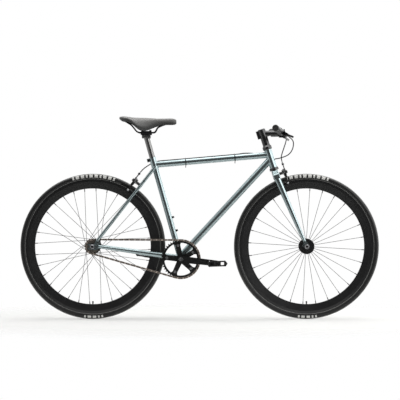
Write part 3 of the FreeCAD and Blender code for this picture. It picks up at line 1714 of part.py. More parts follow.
def lever_bracket():
    """Clamp ring on the bar, forked housing for the blade and the cable adjuster."""
    half = lever_clamp_width / 2
    along = Vector(1, 0, 0)
    clamp = Part.makeCylinder(lever_clamp_radius, lever_clamp_width, along * -half, along)
    pivot = lever_pivot_reach
    inboard = lever_bracket_inboard
    housing = flat_solid([
        (-inboard, pivot - 12, 3), (-half, 4, 0), (half, 4, 0), (lever_root_radius + 3, pivot - 6, 6),
        (lever_root_radius + 1, pivot + 8, 8), (-inboard, pivot + 8, 4),
    ], lever_bracket_half_height)
    adjuster = Part.makeCylinder(lever_adjuster_radius, lever_adjuster_length,
                                 Vector(-inboard - lever_adjuster_length, pivot, 0), along)
    body = joined([clamp, housing, adjuster])
    slot_floor = pivot - lever_root_radius - 2
    slot = Part.makeBox(lever_length * 2, lever_pivot_reach * 2, lever_slot_half * 2,
                        Vector(-inboard + 4, slot_floor, -lever_slot_half))
    bore = Part.makeCylinder(bar_radius, lever_clamp_width * 4, along * (-half * 4), along)
    wire_way = Part.makeCylinder(adjuster_bore, 60, Vector(-inboard - 50, pivot, 0), along)
    return body.cut([slot, bore, wire_way])


def lever_pin():
    half = lever_bracket_half_height
    return Part.makeCylinder(lever_pivot_radius, half * 2, Vector(0, lever_pivot_reach, -half), Vector(0, 0, 1))


def brake_lever_brackets():
    frame = lever_frame()
    bracket = lever_bracket().fuse(lever_pin())
    return both_sides(put(bracket, frame))


def lever_blade():
    """Curved blade from the pivot to a rolled tip, in the lever's own plane."""
    pivot = lever_pivot_reach
    root = lever_root_radius
    tip = pivot + lever_tip_reach
    width = lever_blade_width
    round_root = root * 0.95
    body = flat_solid([
        (-root, pivot - root, round_root), (root * 0.9, pivot - root, root * 0.6),
        (lever_length * 0.32, pivot + root, root * 3), (lever_length * 0.9, tip - width, root * 3),
        (lever_length, tip - width * 0.5, width * 0.3), (lever_length * 0.97, tip + width * 0.3, width * 0.4),
        (lever_length * 0.86, tip, root), (lever_length * 0.3, pivot + root + width, root * 3),
        (-root, pivot + root, round_root),
    ], lever_half_thickness)
    hole = Part.makeCylinder(lever_pivot_radius + running_clearance, 40, Vector(0, pivot, -20), Vector(0, 0, 1))
    return body.cut(hole)


def brake_lever_left():
    return [put(lever_blade(), lever_frame())]


def brake_lever_right():
    return [mirrored(put(lever_blade(), lever_frame()))]


# Brake calipers: local X to one side, local Y away from the axle, local Z along the centre bolt

def pad_rise():
    return -brake_reach


def caliper_levels():
    """Depths at which the rear and front arm plates start."""
    rear = caliper_standoff
    front = rear + caliper_plate + caliper_gap
    return rear, front


def pad_solids(side, level, axle_depth):
    """Shoe and holder turned about the axle to follow the rim, with the stud in the arm's end."""
    face = rim_width / 2 + pad_clearance
    back = face + pad_thickness
    holder = back + pad_holder_thickness
    rise = pad_rise()
    start = axle_depth - pad_length / 2
    low = min(side * face, side * back)
    shoe = Part.makeBox(pad_thickness, pad_height, pad_length, Vector(low, rise - pad_height / 2, start))
    low = min(side * back, side * holder)
    cover = Part.makeBox(pad_holder_thickness, pad_height, pad_length, Vector(low, rise - pad_height / 2, start))
    axle = Vector(0, rise - rim_brake_radius(), axle_depth)
    along_rim = math.degrees((caliper_pad_depth - axle_depth) / rim_brake_radius())
    shoe = spun(shoe, axle, along_rim, Vector(1, 0, 0))
    cover = spun(cover, axle, along_rim, Vector(1, 0, 0))
    stud_level = level + caliper_plate / 2
    stud_end = caliper_end_side + pad_height * 0.9
    stud = rod(Vector(side * holder, rise, stud_level), Vector(side * stud_end, rise, stud_level), pad_stud_radius)
    return shoe, joined([cover, stud])


def arm_plate(corners, level):
    body = plate(outline(corners), caliper_plate)
    body.translate(Vector(0, 0, level))
    return body


def pivot_hole(x, y):
    return Part.makeCylinder(caliper_bolt_radius + caliper_bolt_play, 80, Vector(x, y, -20), Vector(0, 0, 1))


def anchor_arm(axle_depth):
    """Arm on the side pivot: shoe on its own side, cable anchor reaching over to the other."""
    rear, front = caliper_levels()
    x = -caliper_side_pivot
    y = caliper_side_rise
    limb = caliper_limb_reach
    end = caliper_end_side
    rise = pad_rise()
    clear = caliper_sleeve_radius + 2 * end_float
    body = arm_plate([
        (x - 9, y + 7, 6), (x + 6, y + 11, 8), (6, y + 11, 10), (adjuster_side + 4, -2, 10),
        (adjuster_side + 6, -anchor_drop - 6, 5), (adjuster_side - 6, -anchor_drop - 6, 5), (clear + 4, clear, 5),
        (-clear, clear, 4), (x + 5, y - 8, 6), (x - 6, y - 16, 9), (-end - 1, rise + 22, 6), (-end + 5, rise - 5, 4),
        (-end - 6, rise - 5, 4), (-limb, rise + 26, 14), (-limb + 2, y - 12, 14),
    ], rear)
    face = front + caliper_plate / 2 - cable_wire_radius - end_float
    boss = Part.makeCylinder(anchor_radius, face - rear, Vector(adjuster_side, -anchor_drop, rear), Vector(0, 0, 1))
    shoe, holder = pad_solids(-1, rear, axle_depth)
    body = joined([body, boss]).cut(pivot_hole(x, y))
    return [body.cut(holder), shoe, holder]


def adjuster_arm(axle_depth):
    """Arm on the centre bolt: shoe on the cable's side and the barrel adjuster above it."""
    rear, front = caliper_levels()
    limb = caliper_limb_reach
    end = caliper_end_side
    rise = pad_rise()
    hub = caliper_hub_radius
    body = arm_plate([
        (-hub, hub, 8), (hub, hub, 4), (adjuster_side - 8, adjuster_rise + 5, 6),
        (adjuster_side + 10, adjuster_rise + 5, 8), (limb + 5, adjuster_rise - 8, 12), (limb + 2, rise + 26, 14),
        (end + 6, rise - 5, 4), (end - 5, rise - 5, 4), (end + 3, rise + 22, 6), (limb - 8, -6, 8),
        (adjuster_side + 6, adjuster_rise - 6, 4), (hub, -hub * 0.7, 5), (0, -hub, 6), (-hub, -hub, 8),
    ], front)
    middle = front + caliper_plate / 2
    up = Vector(0, 1, 0)
    foot = Vector(adjuster_side, adjuster_rise - 2, middle)
    stem_top_point = foot + up * (adjuster_stem_length + 2)
    boss = rod(foot, foot + up * adjuster_boss_length, adjuster_boss_radius)
    barrel = rod(foot, stem_top_point, adjuster_stem_radius)
    knob = rod(stem_top_point, stem_top_point + up * adjuster_knob_length, adjuster_knob_radius)
    top = stem_top_point + up * adjuster_knob_length
    tail = Vector(adjuster_side, -anchor_drop - wire_tail, middle)
    wire = rod(tail, top, cable_wire_radius)
    shoe, holder = pad_solids(1, front, axle_depth)
    body = joined([body, boss, barrel, knob]).cut([rod(tail, top, adjuster_bore), pivot_hole(0, 0)])
    return [body.cut(holder), shoe, holder, wire]


def caliper_mount(bolt_back):
    """Centre bolt with its nut, and the bracket that carries the side pivot."""
    rear, front = caliper_levels()
    up = Vector(0, 0, 1)
    end = front + caliper_plate + end_float
    bolt = Part.makeCylinder(caliper_bolt_radius, end + caliper_nut_height + bolt_back, Vector(0, 0, -bolt_back), up)
    nut = Part.makeCylinder(caliper_nut_radius, caliper_nut_height, Vector(0, 0, end), up)
    span = math.hypot(caliper_side_pivot, caliper_side_rise)
    bracket = plate(belt(span, caliper_hub_radius, caliper_hub_radius - 1), caliper_bracket)
    bracket.translate(up * (rear - end_float - caliper_bracket))
    spacer = Part.makeCylinder(caliper_spacer_radius, rear - end_float, ORIGIN, up)
    bracket.rotate(ORIGIN, up, math.degrees(math.atan2(caliper_side_rise, -caliper_side_pivot)))
    side = Vector(-caliper_side_pivot, caliper_side_rise, 0)
    side_start = rear - end_float - caliper_bracket
    side_end = rear + caliper_plate + end_float
    side_bolt = Part.makeCylinder(caliper_bolt_radius, side_end - side_start, side + up * side_start, up)
    side_head = Part.makeCylinder(caliper_sleeve_radius, caliper_nut_height, side + up * side_end, up)
    sleeve = Part.makeCylinder(caliper_sleeve_radius, front - rear, up * (rear - end_float), up)
    return joined([bolt, nut, spacer, bracket, side_bolt, side_head, sleeve])


def front_caliper_frame():
    height = rim_brake_radius() + brake_reach
    return frame_at(steer(height, crown_depth / 2), SIDE, STEER_FORWARD)


def rear_caliper_frame():
    bolt_way = turned(stay_heading() + 90)
    return frame_at(rear_brake_point() + bolt_way * (bridge_radius + bridge_boss), SIDE * -1, bolt_way)


def front_axle_depth():
    """Depth of the axle from the face of the crown, along the centre bolt."""
    return fork_rake - crown_depth / 2


def rear_axle_depth():
    return -bridge_radius - bridge_boss


def on_front(shapes):
    return [put(shape, front_caliper_frame()) for shape in shapes]


def on_rear(shapes):
    """The rear caliper is handed the other way, so that its cable comes down on the left."""
    return [mirrored(put(shape, rear_caliper_frame())) for shape in shapes]


def front_anchor_arm():
    return on_front(anchor_arm(front_axle_depth()))


def front_adjuster_arm():
    return on_front(adjuster_arm(front_axle_depth()))


def rear_anchor_arm():
    return on_rear(anchor_arm(rear_axle_depth()))


def rear_adjuster_arm():
    return on_rear(adjuster_arm(rear_axle_depth()))


def front_brake_mount():
    return on_front([caliper_mount(crown_depth)])


def rear_brake_mount():
    return on_rear([caliper_mount(2 * (bridge_radius + bridge_boss))])


def adjuster_tip(frame, flipped):
    """Middle of the open end of a caliper's adjuster knob and the direction out of it."""
    _, front = caliper_levels()
    top = adjuster_rise + adjuster_stem_length + adjuster_knob_length
    local = Vector(adjuster_side, top + housing_gap, front + caliper_plate / 2)
    point = frame.multVec(local)
    way = frame.Rotation.multVec(Vector(0, 1, 0))
    if flipped:
        point = Vector(point.x, -point.y, point.z)
        way = Vector(way.x, -way.y, way.z)
    return point, way


def lever_cable_start(side):
    """Middle of the open end of a lever's adjuster and the direction out of it."""
    frame = lever_frame()
    point = frame.multVec(Vector(-lever_bracket_inboard - lever_adjuster_length, lever_pivot_reach, 0))
    way = frame.Rotation.multVec(Vector(-1, 0, 0))
    return Vector(point.x, point.y * side, point.z), Vector(way.x, way.y * side, way.z)


# Cables

def along_top_tube(x, extra=0.0, lean=cable_lean):
    """A point of the housing that lies on the top tube, a little to the left of its ridge."""
    rear, front = top_tube_ends()
    axis = rear + (front - rear) * ((x - rear.x) / (front.x - rear.x))
    along = (front - rear).normalize()
    up = SIDE.cross(along) * -1
    reach = top_tube_radius + housing_radius + housing_seat_gap + extra
    return axis + (up * math.cos(math.radians(lean)) + SIDE * math.sin(math.radians(lean))) * reach


def front_brake_cable():
    start, way = lever_cable_start(1)
    end, down = adjuster_tip(front_caliper_frame(), False)
    points = [
        start, start + way * 34, Vector(end.x + 16, end.y + 14, start.z - 30),
        Vector(end.x - 2, end.y, start.z - 80), end + down * 24, end,
    ]
    return [cord(points, housing_radius)]


def rear_brake_cable_loop():
    start, way = lever_cable_start(-1)
    beside = head_tube_radius + housing_radius
    tie = tie_positions[0]
    points = [
        start, start + way * 40, Vector(start.x + 38, start.y + 66, start.z - 26),
        Vector(start.x + 24, start.y + 92, start.z - 84), Vector(start.x - 30, start.y + 110, start.z - 106),
        steer(head_bottom + head_tube_length / 2, -4, beside + 9), along_top_tube(tie + 98, 10, 62),
        along_top_tube(tie + 48, 4, 26), along_top_tube(tie + 18), along_top_tube(tie),
    ]
    return [cord(points, housing_radius)]


def rear_brake_cable():
    start = along_top_tube(tie_positions[0])
    end, down = adjuster_tip(rear_caliper_frame(), True)
    last = along_top_tube(tie_positions[1] - 70)
    joint = seat_tube_length - top_tube_below_top
    beside = seat(joint + 16, 8, seat_sleeve_radius + housing_radius + 8)
    points = [start, last, beside, seat(joint + 4, -34, 30), end + down * 24, end]
    return [cord(points, housing_radius)]


def cable_tie(x):
    """A strap round the tube and the housing, with its buckle and hanging tail."""
    rear, front = top_tube_ends()
    along = (front - rear).normalize()
    axis = rear + (front - rear) * ((x - rear.x) / (front.x - rear.x))
    to_cable = (along_top_tube(x) - axis)
    to_cable = to_cable - along * to_cable.dot(along)
    reach = top_tube_radius + housing_radius + housing_seat_gap
    frame = frame_at(axis - along * (tie_width / 2), to_cable.normalize(), along)
    strap = plate(belt(reach, top_tube_radius + tie_thickness, housing_radius + tie_thickness), tie_width)
    room = plate(belt(reach, top_tube_radius, housing_radius), tie_width)
    strap = put(strap.cut(room), frame)
    side = axis - SIDE * (top_tube_radius + tie_thickness)
    buckle = Part.makeBox(tie_width + 2, 4, 6, side - Vector(tie_width / 2 + 1, 3.4, 3))
    tail = Part.makeBox(tie_width * 0.7, tie_thickness, tie_tail_length,
                        side - Vector(tie_width * 0.35, 2.4, tie_tail_length))
    body = joined([strap, buckle, tail])
    return body.cut(rod(rear, front, top_tube_radius))


def cable_clips():
    return [cable_tie(x) for x in tie_positions]


# Seat

def seatpost_top():
    return seat_tube_length + seatpost_exposed


def rail_height():
    return seat(seatpost_top()).z + seatpost_head_rise


def saddle_top():
    return rail_height() + rail_drop


def saddle_rear():
    return seat(seatpost_top()).x - saddle_setback


def seatpost():
    """Hollow post closed at the top by the head that carries the clamp."""
    top = seatpost_top()
    body = pipe(seat(top - seatpost_length), seat(top), seatpost_radius, seatpost_wall)
    head_top_z = rail_height() - rail_radius - clamp_plate_thickness
    middle = seat(top)
    lower = middle - SEAT_UP * 14
    neck = rod(lower, middle + SEAT_UP * 14, seatpost_radius)
    table = Part.makeBox(clamp_length * 0.8, clamp_half_width * 1.5, 16,
                         Vector(middle.x - clamp_length * 0.4, -clamp_half_width * 0.75, head_top_z - 16))
    table = table.makeFillet(3, table.Edges)
    above = Part.makeBox(clamp_length, clamp_half_width * 2, clamp_length,
                         Vector(middle.x - clamp_length / 2, -clamp_half_width, head_top_z))
    return [joined([body, neck.cut(above), table])]


def clamp_middle():
    return Vector(seat(seatpost_top()).x, 0, rail_height())


def rail_grooves():
    middle = clamp_middle()
    half = clamp_length
    grooves = []
    for side in (-rail_half_gauge, rail_half_gauge):
        start = Vector(middle.x - half, side, middle.z)
        grooves.append(rod(start, start + Vector(half * 2, 0, 0), rail_radius))
    return grooves


def clamp_bolt_places():
    middle = clamp_middle()
    return [middle + Vector(shift, 0, 0) for shift in (-clamp_bolt_spread, clamp_bolt_spread)]


def saddle_clamp():
    """Lower cradle, upper plate and the two bolts that squeeze the rails between them."""
    middle = clamp_middle()
    thick = clamp_plate_thickness
    half = clamp_length / 2
    gap = 0.6
    base = rail_radius + thick
    cradle = Part.makeBox(clamp_length, clamp_half_width * 2, base - gap, middle + Vector(-half, -clamp_half_width, -base))
    upper_half = half * 0.95
    upper = Part.makeBox(upper_half * 2, clamp_half_width * 2, thick, middle + Vector(-upper_half, -clamp_half_width, gap))
    holes = []
    bolts = []
    for place in clamp_bolt_places():
        foot = place - Vector(0, 0, base)
        top = place + Vector(0, 0, gap + thick)
        holes.append(rod(foot, top, clamp_bolt_radius))
        head = rod(top, top + Vector(0, 0, clamp_bolt_head), clamp_bolt_head_radius)
        bolts.append(joined([rod(foot, top, clamp_bolt_radius), head]))
    cut_outs = rail_grooves() + holes
    return [cradle.cut(cut_outs), upper.cut(cut_outs)] + bolts


def saddle_stations():
    """Share of the length from the rear, half width, top and skirt heights against the flat top."""
    return (
        (0.000, 38.0, 6.0, -7.0), (0.045, 58.0, 8.0, -13.0), (0.130, 69.0, 6.0, -18.0),
        (0.230, 69.0, 2.0, -30.0), (0.330, 58.0, 0.5, -52.0), (0.450, 43.0, 0.0, -58.0),
        (0.570, 31.0, 0.0, -48.0), (0.700, 23.0, 0.0, -36.0), (0.850, 19.5, 0.5, -32.0),
        (0.960, 16.5, -1.5, -31.0), (1.000, 9.0, -8.0, -28.0),
    )


def saddle_section(station, inset, drop):
    """A crowned section: flat under, bowed sides and a gently arched top."""
    share, half, top, skirt = station
    x = saddle_rear() + share * saddle_length
    if inset:
        x += (0.5 - share) * inset * 2.2
    wide = half - inset
    high = saddle_top() + top - inset
    low = saddle_top() + skirt - drop
    shoulder = high - min(9.0, (high - low) * 0.35)
    top_half = wide * 0.72
    foot = wide * 0.93
    belly = (low + shoulder) / 2
    points = [
        Vector(x, -foot, low), Vector(x, foot, low), Vector(x, wide, belly), Vector(x, top_half, shoulder + 5),
        Vector(x, 0, high), Vector(x, -top_half, shoulder + 5), Vector(x, -wide, belly),
    ]
    edges = [
        Part.LineSegment(points[0], points[1]).toShape(),
        Part.Arc(points[1], points[2], points[3]).toShape(),
        Part.Arc(points[3], points[4], points[5]).toShape(),
        Part.Arc(points[5], points[6], points[0]).toShape(),
    ]
    return Part.Wire(edges)


def saddle_form(inset, drop):
    return loft([saddle_section(station, inset, drop) for station in saddle_stations()])


def saddle_cover():
    return [saddle_form(0, 0).cut(saddle_form(saddle_cover_thickness, saddle_skirt_room))]


def rail_socket(form, start, end):
    """A solid stretch of the shell, between two shares of the saddle's length."""
    depth = saddle_length * (end - start)
    block = Part.makeBox(depth, saddle_length, saddle_length, Vector(
        saddle_rear() + saddle_length * start, -saddle_length / 2, saddle_top() - socket_depth))
    return form.common(block)


def saddle_shell():
    outer = saddle_cover_thickness + saddle_fit_gap
    form = saddle_form(outer, saddle_skirt_room).common(saddle_form(0, 0))
    body = form.cut(saddle_form(outer + saddle_shell_thickness, saddle_skirt_room))
    sockets = [rail_socket(form, *nose_socket), rail_socket(form, *tail_socket)]
    return [joined([body] + sockets).cut(saddle_rails())]


def rail_path():
    middle = clamp_middle()
    half = clamp_length / 2 + rail_bend_room
    nose = Vector(saddle_rear() + saddle_length * 0.87, rail_nose_side, saddle_top() - 24)
    tail = Vector(saddle_rear() + saddle_length * 0.09, rail_half_gauge + 10, saddle_top() - 12)
    return [
        nose, nose + Vector(-30, 3, -9), middle + Vector(half + 12, rail_half_gauge * 0.58, 24),
        middle + Vector(half, rail_half_gauge, 0), middle + Vector(-half, rail_half_gauge, 0),
        tail + Vector(33, -4, -20), tail,
    ]


def saddle_rails():
    solid = swept(route(rail_path(), 0.3), rail_radius)
    return both_sides(solid)


NODES = {
    "head_tube": head_tube,
    "top_tube": top_tube,
    "down_tube": down_tube,
    "seat_tube": seat_tube,
    "bottom_bracket_shell": bottom_bracket_shell,
    "chainstays": chainstays,
    "seatstays": seatstays,
    "rear_dropouts": rear_dropouts,
    "frame_bolts": frame_bolts,
    "headset_cups": headset_cups,
    "bottom_bracket_cartridge": bottom_bracket_cartridge,
    "rear_axle": rear_axle,
    "rear_axle_nuts": rear_axle_nuts,
    "rear_brake_mount": rear_brake_mount,
    "cable_clips": cable_clips,
    "rear_brake_cable": rear_brake_cable,
    "rear_brake_cable_loop": rear_brake_cable_loop,
    "chain": chain,
    "seatpost": seatpost,
    "saddle_clamp": saddle_clamp,
    "saddle_rails": saddle_rails,
    "saddle_shell": saddle_shell,
    "saddle_cover": saddle_cover,
    "bottom_bracket_spindle": bottom_bracket_spindle,
    "crank_arm_right": crank_arm_right,
    "crank_arm_left": crank_arm_left,
    "chainring": chainring,
    "crankset_bolts": crankset_bolts,
    "pedal_axles": pedal_axles,
    "pedal_right": pedal_right,
    "pedal_left": pedal_left,
    "rear_tyre": lambda: tyre(REAR_AXLE),
    "rear_inner_tube": lambda: inner_tube(REAR_AXLE),
    "rear_rim": lambda: rim(REAR_AXLE),
    "rear_spokes": rear_spokes,
    "rear_hub": rear_hub,
    "rear_cog": rear_cog,
    "front_tyre": lambda: tyre(FRONT_AXLE),
    "front_inner_tube": lambda: inner_tube(FRONT_AXLE),
    "front_rim": lambda: rim(FRONT_AXLE),
    "front_spokes": front_spokes,
    "front_hub": front_hub,
    "fork_crown": fork_crown,
    "fork_blades": fork_blades,
    "headset_spacers": headset_spacers,
    "stem": stem,
    "stem_bolts": stem_bolts,
    "handlebar": handlebar,
    "grips": grips,
    "brake_lever_brackets": brake_lever_brackets,
    "front_axle": front_axle,
    "front_axle_nuts": front_axle_nuts,
    "front_brake_mount": front_brake_mount,
    "front_brake_cable": front_brake_cable,
    "brake_lever_right": brake_lever_right,
    "brake_lever_left": brake_lever_left,
    "front_anchor_arm": front_anchor_arm,
    "front_adjuster_arm": front_adjuster_arm,
    "rear_anchor_arm": rear_anchor_arm,
    "rear_adjuster_arm": rear_adjuster_arm,
}


def main():
    os.makedirs("parts", exist_ok=True)
    for name, make in NODES.items():
        solids = [solid for shape in make() for solid in shape.Solids]
        Part.makeCompound(solids).exportStep(os.path.join("parts", name + ".step"))


main()
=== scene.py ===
"""Fixed gear bicycle: its looks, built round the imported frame, in metres.

X points forward, Y to the rider's left and Z up. The drive side is at negative Y.
"""

import json
import logging
import math
from collections.abc import Callable, Sequence
from dataclasses import dataclass
from enum import Enum

import bmesh
import bpy
from mathutils import Matrix, Vector
from mathutils.bvhtree import BVHTree

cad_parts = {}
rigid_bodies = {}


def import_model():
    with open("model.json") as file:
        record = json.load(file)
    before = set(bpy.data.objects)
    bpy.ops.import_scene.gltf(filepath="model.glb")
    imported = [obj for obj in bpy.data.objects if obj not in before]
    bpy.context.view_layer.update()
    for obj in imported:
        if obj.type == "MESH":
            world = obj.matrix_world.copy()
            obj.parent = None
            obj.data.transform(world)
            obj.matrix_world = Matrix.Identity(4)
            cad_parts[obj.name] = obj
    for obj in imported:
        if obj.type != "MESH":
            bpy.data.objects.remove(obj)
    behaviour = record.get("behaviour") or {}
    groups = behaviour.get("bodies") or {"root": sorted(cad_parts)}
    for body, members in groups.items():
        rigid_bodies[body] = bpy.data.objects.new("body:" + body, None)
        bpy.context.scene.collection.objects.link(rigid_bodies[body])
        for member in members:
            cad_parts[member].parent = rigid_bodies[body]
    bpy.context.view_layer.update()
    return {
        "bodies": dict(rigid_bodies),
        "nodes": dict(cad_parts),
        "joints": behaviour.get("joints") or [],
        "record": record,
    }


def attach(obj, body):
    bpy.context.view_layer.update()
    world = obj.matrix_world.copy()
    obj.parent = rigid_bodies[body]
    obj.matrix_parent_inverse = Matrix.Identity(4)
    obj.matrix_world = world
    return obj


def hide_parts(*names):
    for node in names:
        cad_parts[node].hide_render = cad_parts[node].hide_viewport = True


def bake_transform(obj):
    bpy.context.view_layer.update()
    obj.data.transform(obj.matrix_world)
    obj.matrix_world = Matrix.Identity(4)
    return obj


LOG = logging.getLogger("bicycle")
MM = 0.001
Piece = bpy.types.Object
Tree = bpy.types.NodeTree
Socket = bpy.types.NodeSocket

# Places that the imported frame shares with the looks
REAR_AXLE = Vector((-0.49901, 0.0, 0.339))
FRONT_AXLE = Vector((0.49901, 0.0, 0.339))
CRANK = Vector((-0.08799, 0.0, 0.28))
STEER_UP = Vector((-0.30902, 0.0, 0.95106))
STEER_FORWARD = Vector((0.95106, 0.0, 0.30902))
SEAT_UP = Vector((-0.27060, 0.0, 0.96269))
SEAT_FORWARD = Vector((0.96269, 0.0, 0.27060))
STAY_UP = Vector((0.61695, 0.0, 0.78700))
STEM_AHEAD = Vector((0.99985, 0.0, 0.01745))
BAR_END = Vector((0.34493, 0.28, 0.88287))
BAR_OUT = Vector((-0.16972, 0.98259, 0.07561))
SIDE = Vector((0.0, 1.0, 0.0))


# Small tools


def linear(code: str) -> tuple[float, float, float, float]:
    """Turn an sRGB hex colour into linear RGBA.

    Args:
        code: six hex digits, with or without a leading hash sign.

    Returns:
        Linear red, green and blue, and an alpha of one.
    """
    digits = code.lstrip("#")
    channels = [int(digits[start:start + 2], 16) / 255 for start in (0, 2, 4)]
    lit = [value / 12.92 if value <= 0.04045 else ((value + 0.055) / 1.055) ** 2.4 for value in channels]
    return (lit[0], lit[1], lit[2], 1.0)


def add_node(tree: Tree, kind: str, settings: dict | None = None) -> bpy.types.Node:
    """Add a shader node with its settings and links.

    Args:
        tree: the node tree that gets the node.
        kind: the node's type, without Blender's prefix.
        settings: source sockets or values by input name or index, and values by property name.

    Returns:
        The new node.
    """
    node = tree.nodes.new("ShaderNode" + kind)
    for key, value in (settings or {}).items():
        if isinstance(value, Socket):
            tree.links.new(value, node.inputs[key])
        elif isinstance(key, int) or key in node.inputs:
            node.inputs[key].default_value = value
        else:
            setattr(node, key, value)
    return node


def calc(tree: Tree, operation: str, first: Socket, second: Socket | float = 0.0) -> Socket:
    """Return the result of a math node on one or two values."""
    return add_node(tree, "Math", {"operation": operation, 0: first, 1: second}).outputs[0]


def mix_colours(tree: Tree, share: Socket, first: Socket | tuple, second: Socket | tuple) -> Socket:
    """Return a colour that goes from the first to the second with the share."""
    return add_node(tree, "Mix", {"data_type": "RGBA", 0: share, 6: first, 7: second}).outputs[2]


def remap(tree: Tree, value: Socket, span: tuple[float, float], onto: tuple[float, float] = (0.0, 1.0),
          curve: str = "SMOOTHSTEP") -> Socket:
    """Return a value mapped from one span onto another."""
    return add_node(tree, "MapRange", {
        "interpolation_type": curve, "From Min": span[0], "From Max": span[1], "To Min": onto[0],
        "To Max": onto[1], "Value": value}).outputs[0]


def new_material(name: str) -> tuple[bpy.types.Material, Tree]:
    """Return a new material and its emptied node tree."""
    made = bpy.data.materials.new(name)
    made.use_nodes = True
    made.node_tree.nodes.clear()
    return made, made.node_tree


def clear_selection() -> None:
    """Deselect everything, so that the next operator acts on the new piece alone."""
    bpy.ops.object.select_all(action="DESELECT")


def take(piece: Piece) -> None:
    """Select one piece alone and make it active."""
    clear_selection()
    piece.select_set(True)
    bpy.context.view_layer.objects.active = piece


def settle(piece: Piece, name: str) -> Piece:
    """Name a piece and put its place into its mesh.

    Args:
        piece: the piece, placed by its object transform.
        name: its final name.

    Returns:
        The same piece, at the origin, unturned and unscaled.
    """
    take(piece)
    bpy.ops.object.transform_apply(location=True, rotation=True, scale=True)
    piece.name = name
    piece.data.name = name
    return piece


def pick_faces(piece: Piece, test: Callable[[Vector, Vector], bool]) -> None:
    """Go into edit mode and select faces by their place.

    Args:
        piece: the piece to work on.
        test: told a face's middle and normal, says whether it is selected.
    """
    take(piece)
    bpy.ops.object.mode_set(mode="EDIT")
    bpy.ops.mesh.select_mode(type="FACE")
    bpy.ops.mesh.select_all(action="DESELECT")
    shape = bmesh.from_edit_mesh(piece.data)
    for face in shape.faces:
        face.select_set(test(face.calc_center_median(), face.normal))
    bmesh.update_edit_mesh(piece.data)


def paint_faces(piece: Piece, slot: int, test: Callable[[Vector, Vector], bool]) -> None:
    """Give the faces that pass a test one of the piece's material slots."""
    pick_faces(piece, test)
    piece.active_material_index = slot
    bpy.ops.object.material_slot_assign()
    bpy.ops.object.mode_set(mode="OBJECT")


def leave_edit(smooth_below: float = 35.0) -> None:
    """Go back to object mode and shade smooth across gentle edges."""
    bpy.ops.object.mode_set(mode="OBJECT")
    bpy.ops.object.shade_smooth_by_angle(angle=math.radians(smooth_below))


def apply_modifier(piece: Piece, kind: str, settings: dict) -> None:
    """Add a modifier with its settings and apply it.

    Args:
        piece: the piece that gets it.
        kind: Blender's name of the modifier type.
        settings: values by property name.
    """
    take(piece)
    modifier = piece.modifiers.new(kind.lower(), kind)
    for key, value in settings.items():
        setattr(modifier, key, value)
    bpy.ops.object.modifier_apply(modifier=modifier.name)


def lathe(steps: tuple[tuple[float, float], ...], corners: int = 32) -> Piece:
    """Make a round piece by extruding and scaling a disc along Z.

    Args:
        steps: height and radius of each ring, in metres, from the foot up.
        corners: number of corners round the piece.

    Returns:
        The closed piece, standing at the origin.
    """
    clear_selection()
    height, radius = steps[0]
    bpy.ops.mesh.primitive_circle_add(vertices=corners, radius=radius, fill_type="NGON", location=(0, 0, height))
    piece = bpy.context.object
    bpy.ops.object.transform_apply(location=True)
    bpy.ops.object.mode_set(mode="EDIT")
    bpy.ops.mesh.select_all(action="SELECT")
    for next_height, next_radius in steps[1:]:
        bpy.ops.mesh.extrude_region_move(TRANSFORM_OT_translate={"value": (0, 0, next_height - height)})
        share = next_radius / radius
        bpy.ops.transform.resize(value=(share, share, 1), center_override=(0, 0, next_height))
        height, radius = next_height, next_radius
    bpy.ops.mesh.select_all(action="SELECT")
    bpy.ops.mesh.normals_make_consistent(inside=False)
    leave_edit()
    return piece


def rings(*steps: tuple[float, float]) -> tuple[tuple[float, float], ...]:
    """Return a lathe's rings from heights and radii in millimetres."""
    return tuple((height * MM, radius * MM) for height, radius in steps)


def aim(place: Vector, up: Vector) -> Matrix:
    """Return the matrix that stands a piece at a place with its Z along a direction."""
    return Matrix.Translation(place) @ up.to_track_quat("Z", "Y").to_matrix().to_4x4()


def copy_to(pattern: Piece, name: str, where: Matrix) -> Piece:
    """Copy a piece with its own mesh to another place.

    Args:
        pattern: the piece modelled at the origin.
        name: the copy's name.
        where: the copy's place and turn.

    Returns:
        The copy, with its place in its mesh.
    """
    twin = pattern.copy()
    twin.data = pattern.data.copy()
    twin.name = name
    twin.data.name = name
    twin.data.transform(where)
    bpy.context.collection.objects.link(twin)
    return twin


def sweep(name: str, points: Sequence, radius: float, rounding: int, fineness: int, closed: bool) -> Piece:
    """Run a round rod along a smooth line.

    Args:
        name: the rod's name.
        points: control points of the line.
        radius: the rod's radius.
        rounding: Blender's bevel resolution round the rod.
        fineness: steps between two control points.
        closed: whether the line is a loop; otherwise the rod has capped ends.

    Returns:
        The rod as a mesh, selected and active.
    """
    line = bpy.data.curves.new(name, "CURVE")
    line.dimensions = "3D"
    line.bevel_depth = radius
    line.bevel_resolution = rounding
    line.use_fill_caps = not closed
    spline = line.splines.new("NURBS")
    spline.points.add(len(points) - 1)
    for control, point in zip(spline.points, points):
        control.co = (*point, 1.0)
    spline.order_u = 3
    spline.use_cyclic_u = closed
    spline.use_endpoint_u = not closed
    spline.resolution_u = fineness
    rod = bpy.data.objects.new(name, line)
    bpy.context.collection.objects.link(rod)
    take(rod)
    bpy.ops.object.convert(target="MESH")
    return bpy.context.object


def discard(pattern: Piece) -> None:
    """Remove a pattern piece once its copies are made."""
    bpy.data.objects.remove(pattern, do_unlink=True)


# Finishes


# Size of the slow clouds in a finish's roughness and how far they move it
CLOUD_SIZE = 60 * MM
ROUGHNESS_WANDER = 0.05
COAT_ROUGHNESS = 0.06
# Upward part of the normal over which the painted top light comes in
TOP_LIGHT_SPAN = (-0.3, 0.75)


class Grain(Enum):
    """The pattern that a way of making leaves in a surface."""

    FLAKED = "metal flakes under lacquer"
    BLASTED = "fine even pits of blasting"
    BRUSHED = "fine lines of brushing or turning"
    PEBBLED = "rounded cells of embossed leather"
    MOULDED = "the low orange-peel of a mould"


